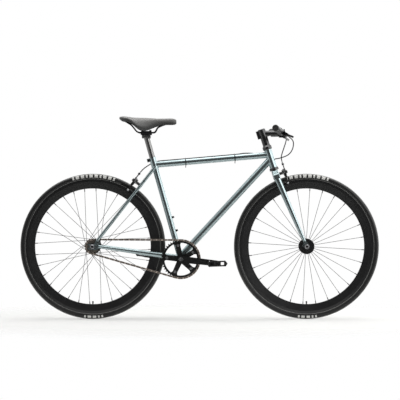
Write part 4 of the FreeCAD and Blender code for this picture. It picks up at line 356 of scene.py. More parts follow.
@dataclass(frozen=True)
class Finish:
    """A real material and the way its surface was made.

    Attributes:
        name: the material's common name, used in Blender.
        colour: main colour, sRGB hex.
        second: colour that the pattern mixes in, sRGB hex.
        metallic: share of bare metal in the look.
        roughness: middle roughness.
        grain: the pattern of the surface.
        size: real size of the pattern's cells in millimetres.
        height: depth of the pattern's relief in millimetres.
        mix: how far the pattern pulls the colour towards the second one.
        coat: weight of a clear lacquer layer.
        sheen: weight of a soft fibre-like sheen.
        specular: specular level of the unlacquered surface.
        painted_top_light: colour that upward faces are lightened to, a painted highlight of the light from above,
            or nothing.
    """

    name: str
    colour: str
    second: str
    metallic: float
    roughness: float
    grain: Grain
    size: float
    height: float
    mix: float = 0.5
    coat: float = 0.0
    sheen: float = 0.0
    specular: float = 0.5
    painted_top_light: str = ""

    def pattern(self, tree: Tree, place: Socket) -> Socket:
        """Add the nodes of the surface's pattern.

        Args:
            tree: the material's node tree.
            place: socket with the position on the object, in metres.

        Returns:
            A socket that runs from nought to one over the pattern.
        """
        cells = 1 / (self.size * MM)
        if self.grain is Grain.FLAKED:
            flakes = add_node(tree, "TexVoronoi", {"Scale": cells, "Vector": place})
            return add_node(tree, "SeparateColor", {0: flakes.outputs["Color"]}).outputs[0]
        if self.grain is Grain.PEBBLED:
            return add_node(tree, "TexVoronoi", {
                "feature": "SMOOTH_F1", "Scale": cells, "Smoothness": 0.35, "Vector": place}).outputs["Distance"]
        if self.grain is Grain.BRUSHED:
            place = add_node(tree, "Mapping", {"Scale": (1.0, 0.06, 1.0), "Vector": place}).outputs[0]
        return add_node(tree, "TexNoise", {"Scale": cells, "Detail": 2.0, "Vector": place}).outputs[0]

    def tint(self, tree: Tree, place: Socket,
             pattern: Socket) -> Socket:
        """Mix the two colours over the pattern, and lighten upward faces towards the painted top-light colour where
        the finish has one.

        Args:
            tree: the material's node tree.
            place: socket with the position on the object, in metres; not used here.
            pattern: socket of the surface's pattern.

        Returns:
            The colour socket.
        """
        share = calc(tree, "MULTIPLY", pattern, self.mix)
        mixed = mix_colours(tree, share, linear(self.colour), linear(self.second))
        if not self.painted_top_light:
            return mixed
        # Painted highlight: the more a face points up, the more it takes the lighter top colour.
        way = add_node(tree, "NewGeometry")
        height = add_node(tree, "SeparateXYZ", {0: way.outputs["Normal"]}).outputs[2]
        return mix_colours(tree, remap(tree, height, TOP_LIGHT_SPAN), mixed, linear(self.painted_top_light))

    def material(self) -> bpy.types.Material:
        """Return the finish's material, made at its first use."""
        found = bpy.data.materials.get(self.name)
        if found:
            return found
        made, tree = new_material(self.name)
        place = add_node(tree, "TexCoord").outputs["Object"]
        pattern = self.pattern(tree, place)
        cloud = add_node(tree, "TexNoise", {"Scale": 1 / CLOUD_SIZE, "Detail": 3.0, "Vector": place})
        wander = (self.roughness - ROUGHNESS_WANDER, self.roughness + ROUGHNESS_WANDER)
        bump = add_node(tree, "Bump", {"Distance": self.height * MM, "Strength": 1.0, "Height": pattern})
        shader = add_node(tree, "BsdfPrincipled", {
            "Metallic": self.metallic, "Coat Weight": self.coat, "Coat Roughness": COAT_ROUGHNESS,
            "Sheen Weight": self.sheen, "Specular IOR Level": self.specular,
            "Base Color": self.tint(tree, place, pattern),
            "Roughness": remap(tree, cloud.outputs[0], (0.0, 1.0), wander, "LINEAR"), "Normal": bump.outputs[0]})
        add_node(tree, "OutputMaterial", {"Surface": shader.outputs[0]})
        return made


@dataclass(frozen=True)
class PlateFinish(Finish):
    """A finish whose colour changes with the distance from a plane across the bicycle.

    Attributes:
        plane: place of the plane along Y, in millimetres.
        edge: distance from the plane past which the other colour starts, in millimetres.
        outer: colour past that distance, sRGB hex.
    """

    plane: float = 0.0
    edge: float = 0.0
    outer: str = "#FFFFFF"

    def tint(self, tree: Tree, place: Socket,
             pattern: Socket) -> Socket:
        """Add the other colour past the edge, by the distance from the plane."""
        near = super().tint(tree, place, pattern)
        across = add_node(tree, "SeparateXYZ", {0: place}).outputs[1]
        reach = calc(tree, "ABSOLUTE", calc(tree, "SUBTRACT", across, self.plane * MM))
        return mix_colours(tree, calc(tree, "GREATER_THAN", reach, self.edge * MM), near, linear(self.outer))


# Steel tubes sprayed with a metallic slate lacquer: flakes glint under a clear coat.
# Flakes are far finer in life; a third of a millimetre is drawn so that they show up close.
SLATE_LACQUER = Finish("metallic_slate_lacquer", "#9DADAF", "#B4C0C2", 0.95, 0.2, Grain.FLAKED, 0.35, 0.0,
                       mix=0.3, coat=0.6)
# Aluminium blasted and anodised black: an even satin that catches broad soft light.
BLACK_ANODISED = Finish("black_anodised_aluminium", "#101011", "#1A1A1B", 0.0, 0.24, Grain.BLASTED, 0.6, 0.002,
                        coat=0.4, specular=0.8)
# Seatpost: thinner, greyer anodising over turned aluminium.
GREY_ANODISED = Finish("grey_anodised_aluminium", "#8A8A89", "#747473", 0.9, 0.24, Grain.BRUSHED, 0.6, 0.002)
# The rim's lips: a bright grey ring laid on each, a painted highlight of the light that the lips catch.
RIM_LIP_HIGHLIGHT = Finish("rim_lip_painted_highlight", "#A2A2A0", "#6E6E6C", 0.25, 0.4, Grain.BRUSHED, 3.0, 0.002, mix=0.8)
# Deep rim extrusion, anodised black: smoother than the castings, drawn round the rim.
BLACK_RIM = Finish("black_anodised_rim", "#0F0F10", "#19191A", 0.0, 0.3, Grain.BLASTED, 0.8, 0.002, specular=0.8)
# Forged crank and chainring, painted satin black.
BLACK_SATIN = Finish("satin_black_forging", "#0B0B0C", "#151516", 0.0, 0.3, Grain.BLASTED, 0.7, 0.002, specular=0.6)
# Zinc-plated and bright steel: turned and drawn parts with fine lines along them.
BRIGHT_STEEL = Finish("bright_drawn_steel", "#B9BABC", "#8E8F92", 0.95, 0.28, Grain.BRUSHED, 0.5, 0.002)
# Stainless wire of the spokes, drawn through a die.
SPOKE_STEEL = Finish("stainless_spoke_wire", "#3A3836", "#2C2B2A", 0.8, 0.4, Grain.BRUSHED, 0.6, 0.002)
# Black oxide on screws, axles, saddle rails and the chain's pins.
BLACK_OXIDE = Finish("black_oxide_steel", "#1A1A1B", "#2A2A2B", 0.6, 0.42, Grain.BLASTED, 0.5, 0.002)
# Oiled carbon steel of the cog, brownish where the oil film lies.
OILED_STEEL = Finish("oiled_cog_steel", "#6F6861", "#57514B", 0.3, 0.42, Grain.BLASTED, 3.0, 0.003, mix=0.8)
# Chain: pale brown steel of the outer plates over darker inner plates and rollers.
CHAIN_STEEL = PlateFinish("bronzed_chain_steel", "#8C8279", "#6A6159", 0.4, 0.4, Grain.BLASTED, 2.0, 0.003,
                          mix=0.8, plane=-43.0, edge=2.8, outer="#B7AAA0")
# Vulcanised tyre rubber: matt, with a dusty bloom.
TYRE_RUBBER = Finish("vulcanised_tyre_rubber", "#0F0F0F", "#1B1B1B", 0.0, 0.42, Grain.MOULDED, 2.0, 0.01)
# The same rubber where it meets the road: scuffed grey and dusty, and lighter still as a painted highlight along
# the tread.
TREAD_DUST_AND_HIGHLIGHT = Finish("tread_rubber_dust_and_highlight", "#7A7A77", "#5A5A58", 0.0, 0.55, Grain.MOULDED, 3.0, 0.02)
# Plain white blocks pressed into the sidewall, a little scuffed.
PRINT_WHITE = Finish("white_sidewall_print", "#E8E8E4", "#BEBDB8", 0.0, 0.55, Grain.MOULDED, 4.0, 0.01, mix=0.7)
# Soft moulded rubber of the inner tubes, and the greyer rubber of the grips, whose lighter tone is partly a painted
# highlight of the light they catch.
SOFT_RUBBER = Finish("moulded_rubber", "#161616", "#242424", 0.0, 0.5, Grain.MOULDED, 1.2, 0.02)
GRIP_RUBBER = Finish("grip_rubber", "#2E2E2D", "#3E3E3C", 0.0, 0.4, Grain.MOULDED, 1.2, 0.02, specular=0.7)
# Glass-filled nylon of shell, pedals and ties.
NYLON = Finish("glass_filled_nylon", "#131313", "#202020", 0.0, 0.42, Grain.MOULDED, 1.0, 0.01)
# Extruded vinyl sleeve of the cable housings.
VINYL = Finish("black_vinyl_sleeve", "#1B1B1C", "#28282A", 0.0, 0.3, Grain.MOULDED, 1.5, 0.01)
# Embossed synthetic leather: rounded cells about a millimetre across, a soft gloss and a lighter top, a painted
# highlight of the light from above.
LEATHERETTE = Finish("embossed_leatherette", "#343433", "#2B2B2A", 0.0, 0.38, Grain.PEBBLED, 1.6, 0.012, mix=0.4,
                     sheen=0.15, painted_top_light="#747371")
NODE_FINISH: dict[Finish, tuple[str, ...]] = {
    SLATE_LACQUER: ("head_tube", "top_tube", "down_tube", "seat_tube", "bottom_bracket_shell", "chainstays",
                    "seatstays", "rear_dropouts", "fork_crown", "fork_blades"),
    GREY_ANODISED: ("seatpost",),
    BLACK_ANODISED: ("headset_cups", "headset_spacers", "rear_brake_mount", "front_brake_mount",
                     "saddle_clamp", "rear_hub", "front_hub", "stem", "handlebar", "brake_lever_brackets",
                     "brake_lever_right", "brake_lever_left", "front_anchor_arm", "front_adjuster_arm",
                     "rear_anchor_arm", "rear_adjuster_arm"),
    BLACK_RIM: ("rear_rim", "front_rim"),
    BLACK_SATIN: ("crank_arm_right", "crank_arm_left", "chainring"),
    BRIGHT_STEEL: ("rear_axle_nuts", "front_axle_nuts", "bottom_bracket_spindle", "pedal_axles",
                   "crankset_bolts"),
    SPOKE_STEEL: ("rear_spokes", "front_spokes"),
    BLACK_OXIDE: ("frame_bolts", "stem_bolts", "saddle_rails", "bottom_bracket_cartridge", "rear_axle",
                  "front_axle"),
    OILED_STEEL: ("rear_cog",),
    CHAIN_STEEL: ("chain",),
    TYRE_RUBBER: ("rear_tyre", "front_tyre"),
    SOFT_RUBBER: ("rear_inner_tube", "front_inner_tube"),
    GRIP_RUBBER: ("grips",),
    NYLON: ("cable_clips", "saddle_shell", "pedal_right", "pedal_left"),
    VINYL: ("rear_brake_cable", "rear_brake_cable_loop", "front_brake_cable"),
    LEATHERETTE: ("saddle_cover",),
}


def dress(piece: Piece, *finishes: Finish) -> None:
    """Fill a piece's material slots with finishes, in order."""
    piece.data.materials.clear()
    for finish in finishes:
        piece.data.materials.append(finish.material())


# Pieces


@dataclass
class Tyre:
    """Slick road tyre with cut shoulders, a moulded rim line and plain white sidewall blocks.

    Attributes:
        name: the piece's name.
        node: the CAD node that it stands for.
        body: the wheel that it turns with.
        axle: middle of the wheel.
        ring: radius from the axle to the middle of the section.
        section: radius of the section.
        around: faces round the wheel.
        blocks: first and last angle of each row of white blocks, in degrees from forward.
        cuts: inner and outer edge of the shoulder's cuts, in degrees from the tread's middle.
        rim_line: the same of the moulded line above the rim.
        high_blocks: the same of the white blocks in the upper half of the wheel.
        low_blocks: the same of the white blocks in the lower half.
        tread: edge of the tread, in the same degrees.
    """

    name: str
    node: str
    body: str
    axle: Vector
    ring: float = 325.95 * MM
    section: float = 13.05 * MM
    around: int = 480
    blocks: tuple[tuple[float, float], ...] = ((71.0, 107.0), (262.0, 278.0))
    cuts: tuple[float, float] = (15, 35)
    rim_line: tuple[float, float] = (120, 130)
    high_blocks: tuple[float, float] = (45, 115)
    low_blocks: tuple[float, float] = (55, 105)
    tread: float = 45

    def place_of(self, point: Vector) -> tuple[float, float]:
        """Return a point's angle round the wheel and round the section from the tread, in degrees."""
        out = point - self.axle
        round_wheel = math.degrees(math.atan2(out.z, out.x)) % 360
        away = math.hypot(out.x, out.z) - self.ring
        return round_wheel, math.degrees(math.atan2(abs(out.y), away))

    def is_cut(self, point: Vector, _normal: Vector) -> bool:
        """Say whether a face is one of the shoulder's cuts."""
        round_wheel, from_tread = self.place_of(point)
        column = int(round_wheel * self.around / 360)
        inner, outer = self.cuts
        return inner < from_tread < outer and column % 4 == (0 if from_tread < (inner + outer) / 2 else 2)

    def is_line(self, point: Vector, _normal: Vector) -> bool:
        """Say whether a face belongs to the moulded line above the rim."""
        return self.rim_line[0] < self.place_of(point)[1] < self.rim_line[1]

    def is_block(self, point: Vector, _normal: Vector) -> bool:
        """Say whether a face belongs to a white sidewall block."""
        round_wheel, from_tread = self.place_of(point)
        column = int(round_wheel * self.around / 360)
        tall = self.high_blocks if round_wheel < 180 else self.low_blocks
        inside = any(first < round_wheel < last for first, last in self.blocks)
        return inside and tall[0] < from_tread < tall[1] and column % 5 < 3

    def is_tread(self, point: Vector, _normal: Vector) -> bool:
        """Say whether a face runs on the road."""
        return self.place_of(point)[1] < self.tread

    def build(self) -> None:
        """Shape a torus into the tyre."""
        clear_selection()
        bpy.ops.mesh.primitive_torus_add(
            location=self.axle, rotation=(math.pi / 2, 0, 0), major_radius=self.ring, minor_radius=self.section,
            major_segments=self.around, minor_segments=36)
        tyre = settle(bpy.context.object, self.name)
        dress(tyre, TYRE_RUBBER, PRINT_WHITE, TREAD_DUST_AND_HIGHLIGHT)
        paint_faces(tyre, 1, self.is_block)
        # The tread faces take the lighter grey: dust, and a painted highlight.
        paint_faces(tyre, 2, self.is_tread)
        pick_faces(tyre, self.is_cut)
        bpy.ops.mesh.inset(thickness=0.55 * MM, depth=-0.6 * MM, use_individual=True)
        bpy.ops.object.mode_set(mode="OBJECT")
        pick_faces(tyre, self.is_line)
        bpy.ops.mesh.inset(thickness=0.3 * MM, depth=0.35 * MM)
        leave_edit()
        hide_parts(self.node)
        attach(tyre, self.body)


@dataclass
class WeldBead:
    """A lacquered weld where one tube meets another.

    Attributes:
        name: the piece's name.
        start: a point on the joining tube's axis, away from the joint.
        end: the point where the axes meet.
        radius: the joining tube's radius.
        across: direction of the other tube's axis.
        core: the other tube's radius.
        bead: radius of the bead.
        steps: number of points round the joint.
    """

    name: str
    start: Vector
    end: Vector
    radius: float
    across: Vector
    core: float
    bead: float = 1.5 * MM
    steps: int = 60

    def loop(self) -> list[Vector]:
        """Return the points where the joining tube's skin meets the other tube."""
        along = (self.end - self.start).normalized()
        first = along.orthogonal().normalized()
        second = along.cross(first)
        flat = along - self.across * along.dot(self.across)
        points = []
        for step in range(self.steps):
            angle = step * math.tau / self.steps
            skin = self.end + (first * math.cos(angle) + second * math.sin(angle)) * self.radius
            out = skin - self.end
            out = out - self.across * out.dot(self.across)
            middle = out.dot(flat)
            inside = middle * middle - flat.length_squared * (out.length_squared - self.core * self.core)
            points.append(skin + along * ((-middle - math.sqrt(max(inside, 0.0))) / flat.length_squared))
        return points

    def build(self, body: str) -> None:
        """Run a round bead along the joint.

        Args:
            body: the CAD body that it rides on.
        """
        bead = sweep(self.name, self.loop(), self.bead, 3, 2, closed=True)
        bpy.ops.object.shade_smooth()
        dress(bead, SLATE_LACQUER)
        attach(bead, body)


def weld_beads() -> tuple[WeldBead, ...]:
    """Return the beads round the frame's main joints."""
    top_rear, top_front = Vector((-0.21165, 0, 0.71995)), Vector((0.32643, 0, 0.76660))
    down_foot, down_front = Vector((-0.09387, 0, 0.28543)), Vector((0.33261, 0, 0.74758))
    seat_top = CRANK + SEAT_UP * 0.3
    return (
        WeldBead("weld_top_tube_head", top_rear, top_front, 14.3 * MM, STEER_UP, 18 * MM),
        WeldBead("weld_top_tube_seat", top_front, top_rear, 14.3 * MM, SEAT_UP, 16 * MM),
        WeldBead("weld_down_tube_head", down_foot, down_front, 15.9 * MM, STEER_UP, 18 * MM),
        WeldBead("weld_seat_tube_foot", seat_top, CRANK, 14.3 * MM, SIDE, 20 * MM),
    )


@dataclass
class Cable:
    """A cable housing on a smooth line through its route, with a metal ferrule on each end that asks for one.

    Attributes:
        name: the piece's name.
        node: the CAD node that it stands for.
        body: the body that it rides on, or that its first end follows.
        route: control points of its line.
        far_body: the body that the ferrule on its other end rides on, where that is another one; the housing itself
            then rides on no body.
        turn: first and last point of the stretch between the two bodies; not used.
        radius: radius of the housing.
        ferrules: whether the first and the last end carry a ferrule.
    """

    name: str
    node: str
    body: str
    route: tuple[tuple[float, float, float], ...]
    far_body: str = ""
    turn: tuple[tuple[float, float, float], ...] = ()
    radius: float = 2.5 * MM
    ferrules: tuple[bool, bool] = (True, True)

    def build(self) -> None:
        """Sweep the housing along its line and cap its ends."""
        housing = sweep(self.name, self.route, self.radius, 5, 16, closed=False)
        bpy.ops.object.shade_smooth_by_angle(angle=math.radians(40))
        dress(housing, VINYL)
        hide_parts(self.node)
        if self.far_body:
            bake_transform(housing)
        else:
            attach(housing, self.body)
        self.cap_ends()

    def cap_ends(self) -> None:
        """Push a crimped ferrule on the ends that end in an adjuster."""
        ends = ((self.route[0], self.route[1], self.body),
                (self.route[-1], self.route[-2], self.far_body or self.body))
        for index, (tip, inner, body) in enumerate(ends):
            if not self.ferrules[index]:
                continue
            reach = self.radius + 0.6 * MM
            cap = lathe((
                (0, reach - 0.4 * MM), (0.4 * MM, reach), (3 * MM, reach), (3.5 * MM, reach - 0.35 * MM),
                (4.5 * MM, reach - 0.35 * MM), (5 * MM, reach), (8.6 * MM, reach), (9 * MM, reach - 0.3 * MM)), 24)
            cap.matrix_world = aim(Vector(tip), (Vector(inner) - Vector(tip)).normalized())
            settle(cap, f"{self.name}_ferrule_{index + 1}")
            dress(cap, BRIGHT_STEEL)
            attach(cap, body)


@dataclass
class Saddle:
    """Narrow padded saddle, its cover swollen over the shell by a cloth simulation.

    Attributes:
        cover: the CAD cover.
        shell: the CAD shell that the cover sits on.
        voxel: edge of the remeshing cells.
        tuck: how far the pad starts inside the CAD cover.
        swell: the most that a point may move.
        pressure: inner pressure of the simulation.
        frames: length of the simulation.
        contact: distance from the shell within which a point is held.
        underside: downward part of the normal past which a face is bare nylon.
    """

    cover: Piece
    shell: Piece
    voxel: float = 4.0 * MM
    tuck: float = 1.5 * MM
    swell: float = 3.0 * MM
    pressure: float = 4.0
    frames: int = 20
    contact: float = 3.0 * MM
    underside: float = 0.55

    def build(self) -> None:
        """Swell the pad and dress it."""
        pad = copy_to(self.cover, "saddle_pad", Matrix.Identity(4))
        pad.parent = None
        take(pad)
        bpy.ops.object.mode_set(mode="EDIT")
        bpy.ops.mesh.select_all(action="SELECT")
        bpy.ops.mesh.remove_doubles(threshold=0.01 * MM)
        bpy.ops.object.mode_set(mode="OBJECT")
        pad.data.remesh_voxel_size = self.voxel
        bpy.ops.object.voxel_remesh()
        held = self.held_points(pad)
        group = pad.vertex_groups.new(name="held")
        group.add(held, 1.0, "REPLACE")
        free = pad.vertex_groups.new(name="free")
        free.add(sorted(set(range(len(pad.data.vertices))) - set(held)), 1.0, "REPLACE")
        apply_modifier(pad, "SMOOTH", {"factor": 0.5, "iterations": 4, "vertex_group": "free"})
        apply_modifier(pad, "DISPLACE", {"strength": -self.tuck, "mid_level": 0.0, "vertex_group": "free"})
        self.inflate(pad)
        apply_modifier(pad, "SUBSURF", {"levels": 1, "render_levels": 1})
        bpy.ops.object.shade_smooth()
        dress(pad, LEATHERETTE, NYLON)
        paint_faces(pad, 1, lambda _point, normal: normal.z < -self.underside)
        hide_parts("saddle_cover")
        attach(pad, "seat")

    def held_points(self, pad: Piece) -> list[int]:
        """Return the points of the pad that lie against the shell."""
        bone = BVHTree.FromPolygons(
            [vertex.co for vertex in self.shell.data.vertices],
            [tuple(polygon.vertices) for polygon in self.shell.data.polygons])
        near = []
        for vertex in pad.data.vertices:
            _place, _normal, _index, distance = bone.find_nearest(vertex.co)
            if distance < self.contact:
                near.append(vertex.index)
        return near

    def inflate(self, pad: Piece) -> None:
        """Blow the pad up with the cloth simulation and hold each point within the swell.

        Args:
            pad: the remeshed pad, with its held points in a group.
        """
        take(pad)
        before = [vertex.co.copy() for vertex in pad.data.vertices]
        cloth = pad.modifiers.new("cloth", "CLOTH")
        cloth.settings.quality = 6
        cloth.settings.mass = 0.3
        cloth.settings.tension_stiffness = 25
        cloth.settings.compression_stiffness = 25
        cloth.settings.bending_stiffness = 2.0
        cloth.settings.use_pressure = True
        cloth.settings.uniform_pressure_force = self.pressure
        cloth.settings.vertex_group_mass = "held"
        cloth.settings.effector_weights.gravity = 0
        cloth.collision_settings.use_collision = False
        cloth.point_cache.frame_start = 1
        cloth.point_cache.frame_end = self.frames
        for frame in range(1, self.frames + 1):
            bpy.context.scene.frame_set(frame)
        bpy.ops.object.modifier_apply(modifier=cloth.name)
        bpy.context.scene.frame_set(1)
        for vertex, start in zip(pad.data.vertices, before):
            moved = vertex.co - start
            if moved.length > self.swell:
                vertex.co = start + moved.normalized() * self.swell


@dataclass
class Grip:
    """A ribbed rubber grip with a flange inboard and a ringed end.

    Attributes:
        length: length on the bar.
        radius: radius over the ribs.
        groove: depth of the grooves.
        flange: radius of the inboard flange.
        ribs: number of ribs.
    """

    length: float = 128 * MM
    radius: float = 15.2 * MM
    groove: float = 0.9 * MM
    flange: float = 17 * MM
    ribs: int = 20

    def steps(self) -> tuple[tuple[float, float], ...]:
        """Return the height and radius of each ring, from the inboard end out."""
        low = self.radius - self.groove
        found = [(0, self.flange - 0.6 * MM), (0.6 * MM, self.flange), (4.4 * MM, self.flange),
                 (5 * MM, self.flange - 0.6 * MM), (5.2 * MM, low)]
        first = 8 * MM
        pitch = (self.length - 16 * MM) / self.ribs
        for index in range(self.ribs):
            foot = first + index * pitch
            found += [(foot, low), (foot + 0.5 * MM, self.radius), (foot + pitch - 1.6 * MM, self.radius),
                      (foot + pitch - 1.1 * MM, low)]
        end = self.length + 3 * MM
        found += [(end - 8 * MM, low), (end - 7.6 * MM, self.radius), (end - 1.2 * MM, self.radius),
                  (end - 0.3 * MM, self.radius - 0.8 * MM), (end, self.radius - 2 * MM),
                  (end, 9 * MM), (end - 0.8 * MM, 8.6 * MM), (end - 0.8 * MM, 5.6 * MM), (end, 5.2 * MM),
                  (end, 2 * MM)]
        return tuple(found)

    def build(self) -> None:
        """Turn one grip and push a copy on each end of the bar."""
        pattern = lathe(self.steps(), 48)
        for side, name in ((1, "grip_left"), (-1, "grip_right")):
            out = Vector((BAR_OUT.x, BAR_OUT.y * side, BAR_OUT.z))
            end = Vector((BAR_END.x, BAR_END.y * side, BAR_END.z))
            grip = copy_to(pattern, name, aim(end - out * self.length, out))
            dress(grip, GRIP_RUBBER)
            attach(grip, "steering")
        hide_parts("grips")
        discard(pattern)


@dataclass
class SocketScrews:
    """Raised rims with a six-sided key hole on the screw heads of the CAD.

    Attributes:
        rise: height of the rim over the CAD head.
        places: name, place of the head's top, its direction, its radius and its body.
    """

    rise: float = 1.6 * MM
    places: tuple[tuple[str, Vector, Vector, float, str], ...] = ()

    def build(self) -> None:
        """Model one rim and copy it to every head."""
        pattern = lathe(((-0.2 * MM, 1.0), (self.rise * 0.7, 1.0), (self.rise, 0.88)), 24)
        clear_selection()
        bpy.ops.mesh.primitive_cylinder_add(vertices=6, radius=0.58, depth=self.rise * 6)
        key = bpy.context.object
        apply_modifier(pattern, "BOOLEAN", {"operation": "DIFFERENCE", "object": key, "solver": "EXACT"})
        discard(key)
        take(pattern)
        bpy.ops.object.shade_smooth_by_angle(angle=math.radians(30))
        for name, place, up, radius, body in self.places:
            size = Matrix.Diagonal((radius, radius, 1.0, 1.0))
            screw = copy_to(pattern, name, aim(place, up) @ size)
            dress(screw, BLACK_OXIDE)
            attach(screw, body)
        discard(pattern)


@dataclass
class Knob:
    """A knurled sleeve over a plain adjuster barrel.

    Attributes:
        name: the piece's name.
        tip: middle of the barrel's open end.
        up: direction out of that end.
        radius: radius of the barrel.
        length: length of the sleeve.
        body: the body that it rides on.
    """

    name: str
    tip: Vector
    up: Vector
    radius: float
    length: float
    body: str

    def build(self) -> None:
        """Cut flutes into a sleeve and place it."""
        reach = self.radius + 0.5 * MM
        sleeve = lathe((
            (0, reach - 0.4 * MM), (0.5 * MM, reach), (self.length - 0.5 * MM, reach),
            (self.length, reach - 0.4 * MM), (self.length, self.radius - 2.0 * MM)), 36)
        middle = self.length / 2

        def is_flute(point: Vector, normal: Vector) -> bool:
            """Say whether a face is every other one of the long side faces."""
            column = int(math.degrees(math.atan2(point.y, point.x)) % 360 / 10)
            return abs(point.z - middle) < 0.1 * MM and abs(normal.z) < 0.1 and column % 2 == 0

        pick_faces(sleeve, is_flute)
        bpy.ops.mesh.inset(thickness=0.12 * MM, depth=-0.35 * MM, use_individual=True)
        leave_edit()
        sleeve.matrix_world = aim(self.tip - self.up * (self.length - 0.2 * MM), self.up)
        settle(sleeve, self.name)
        dress(sleeve, BLACK_ANODISED)
        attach(sleeve, self.body)


@dataclass
class PedalTrim:
    """Grip pins on the rails of one pedal and the dust cap on its outer end.

    Attributes:
        name: the pedal's name.
        eye: middle of the pedal's axle in the side view.
        side: minus one on the drive side, one on the other.
        tilt: the pedal's tilt in degrees from level.
        body: the body that it rides on.
        inner: distance of the pedal's inner side from the middle plane.
        width: width of the pedal.
        rail: distance of the rails from the axle.
        top: half height of the pedal.
        pins: pins in one row.
        first: place of the first pin as a share of the width.
        spread: distance of two pins as a share of the width.
    """

    name: str
    eye: Vector
    side: int
    tilt: float
    body: str
    inner: float = 75 * MM
    width: float = 86 * MM
    rail: float = 35.5 * MM
    top: float = 12 * MM
    pins: int = 5
    first: float = 0.14
    spread: float = 0.18

    def build(self) -> None:
        """Set the pins in two rows on each face and press the cap in."""
        pattern = lathe(rings((-0.5, 1.9), (1.4, 1.7), (2.0, 1.2), (2.1, 0.4)), 12)
        turn = Matrix.Rotation(math.radians(-self.tilt), 4, "Y")
        count = 0
        for face in (1, -1):
            for rail in (-self.rail, self.rail):
                for step in range(self.pins):
                    across = (self.inner + self.width * (self.first + self.spread * step)) * self.side
                    up = turn @ Vector((0, 0, face))
                    place = self.eye + SIDE * across + turn @ Vector((rail, 0, self.top * face))
                    count += 1
                    pin = copy_to(pattern, f"{self.name}_pin_{count:02d}", aim(place, up))
                    dress(pin, BRIGHT_STEEL)
                    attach(pin, self.body)
        discard(pattern)
        cap = lathe(rings((-0.3, 7.6), (0.9, 7.6), (1.5, 7.0), (1.5, 4.4), (0.9, 4.0), (0.9, 1.0)), 32)
        cap.matrix_world = aim(self.eye + SIDE * self.side * (self.inner + self.width), SIDE * self.side)
        settle(cap, f"{self.name}_dust_cap")
        dress(cap, BLACK_OXIDE)
        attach(cap, self.body)


@dataclass
class ChainPins:
    """Dark riveted ends of the pins on both faces of the roller chain.

    Attributes:
        links: number of links.
        ring_teeth: teeth of the chainring.
        cog_teeth: teeth of the rear cog.
        pitch: distance between two pins.
        line: the chain's place along Y.
        face: distance of the outer plates' faces from that place.
    """

    links: int = 96
    ring_teeth: int = 44
    cog_teeth: int = 16
    pitch: float = 12.7 * MM
    line: float = -43 * MM
    face: float = 3.85 * MM

    def route(self) -> list[Vector]:
        """Return the middle of every pin: along the top run, round the ring, along the lower run, round the cog."""
        ring, cog = (self.pitch / (2 * math.sin(math.pi / teeth)) for teeth in (self.ring_teeth, self.cog_teeth))
        ahead = CRANK - REAR_AXLE
        reach = ahead.length
        ahead = ahead.normalized()
        upright = Vector((-ahead.z, 0, ahead.x))
        lean = math.asin((ring - cog) / reach)
        run = reach * math.cos(lean)
        wrap = self.pitch * self.ring_teeth * (math.pi + 2 * lean) / (2 * math.pi)
        round_cog = self.pitch * self.cog_teeth * (math.pi - 2 * lean) / (2 * math.pi)
        upper = upright * math.cos(lean) - ahead * math.sin(lean)
        lower = upright * -math.cos(lean) - ahead * math.sin(lean)
        places = []
        for index in range(self.links):
            way = index * self.pitch
            if way < run:
                place = (REAR_AXLE + upper * cog).lerp(CRANK + upper * ring, way / run)
            elif way < run + wrap:
                turn = Matrix.Rotation((math.pi + 2 * lean) * (way - run) / wrap, 3, "Y")
                place = CRANK + turn @ upper * ring
            elif way < 2 * run + wrap:
                place = (CRANK + lower * ring).lerp(REAR_AXLE + lower * cog, (way - run - wrap) / run)
            else:
                turn = Matrix.Rotation((math.pi - 2 * lean) * (way - 2 * run - wrap) / round_cog, 3, "Y")
                place = REAR_AXLE + turn @ lower * cog
            places.append(place + SIDE * self.line)
        return places

    def build(self) -> None:
        """Model one pin end, copy it to both faces of every joint and join the copies."""
        pattern = lathe(rings((-0.3, 3.0), (0.3, 2.8), (0.5, 1.6)), 12)
        ends = []
        for place in self.route():
            for side in (-1, 1):
                ends.append(copy_to(pattern, "chain_pin_end", aim(place + SIDE * side * self.face, SIDE * side)))
        discard(pattern)
        clear_selection()
        for end in ends:
            end.select_set(True)
        bpy.context.view_layer.objects.active = ends[0]
        bpy.ops.object.join()
        pins = settle(bpy.context.object, "chain_pin_ends")
        dress(pins, BLACK_OXIDE)
        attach(pins, "frame")


@dataclass
class RimEdge:
    """Bright rings on both lips of a rim, a painted highlight of the light that the lips catch.

    Attributes:
        name: the piece's name.
        body: the wheel that it turns with.
        axle: middle of the wheel.
        radius: radius of the lips.
        half_width: distance of the lips from the middle plane.
        wire: half the bright ring's height.
        flatness: its thickness as a share of its height, so that the brake shoes clear it.
    """

    name: str
    body: str
    axle: Vector
    radius: float = 315.4 * MM
    half_width: float = 10.94 * MM
    wire: float = 0.9 * MM
    flatness: float = 0.12

    def build(self) -> None:
        """Lay one flattened ring on each lip."""
        for side, word in ((-1, "right"), (1, "left")):
            clear_selection()
            bpy.ops.mesh.primitive_torus_add(
                location=self.axle + SIDE * side * self.half_width, rotation=(math.pi / 2, 0, 0),
                major_radius=self.radius, minor_radius=self.wire, major_segments=240, minor_segments=10)
            bpy.context.object.scale.z = self.flatness
            ring = settle(bpy.context.object, f"{self.name}_{word}")
            bpy.ops.object.shade_smooth()
            dress(ring, RIM_LIP_HIGHLIGHT)
            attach(ring, self.body)


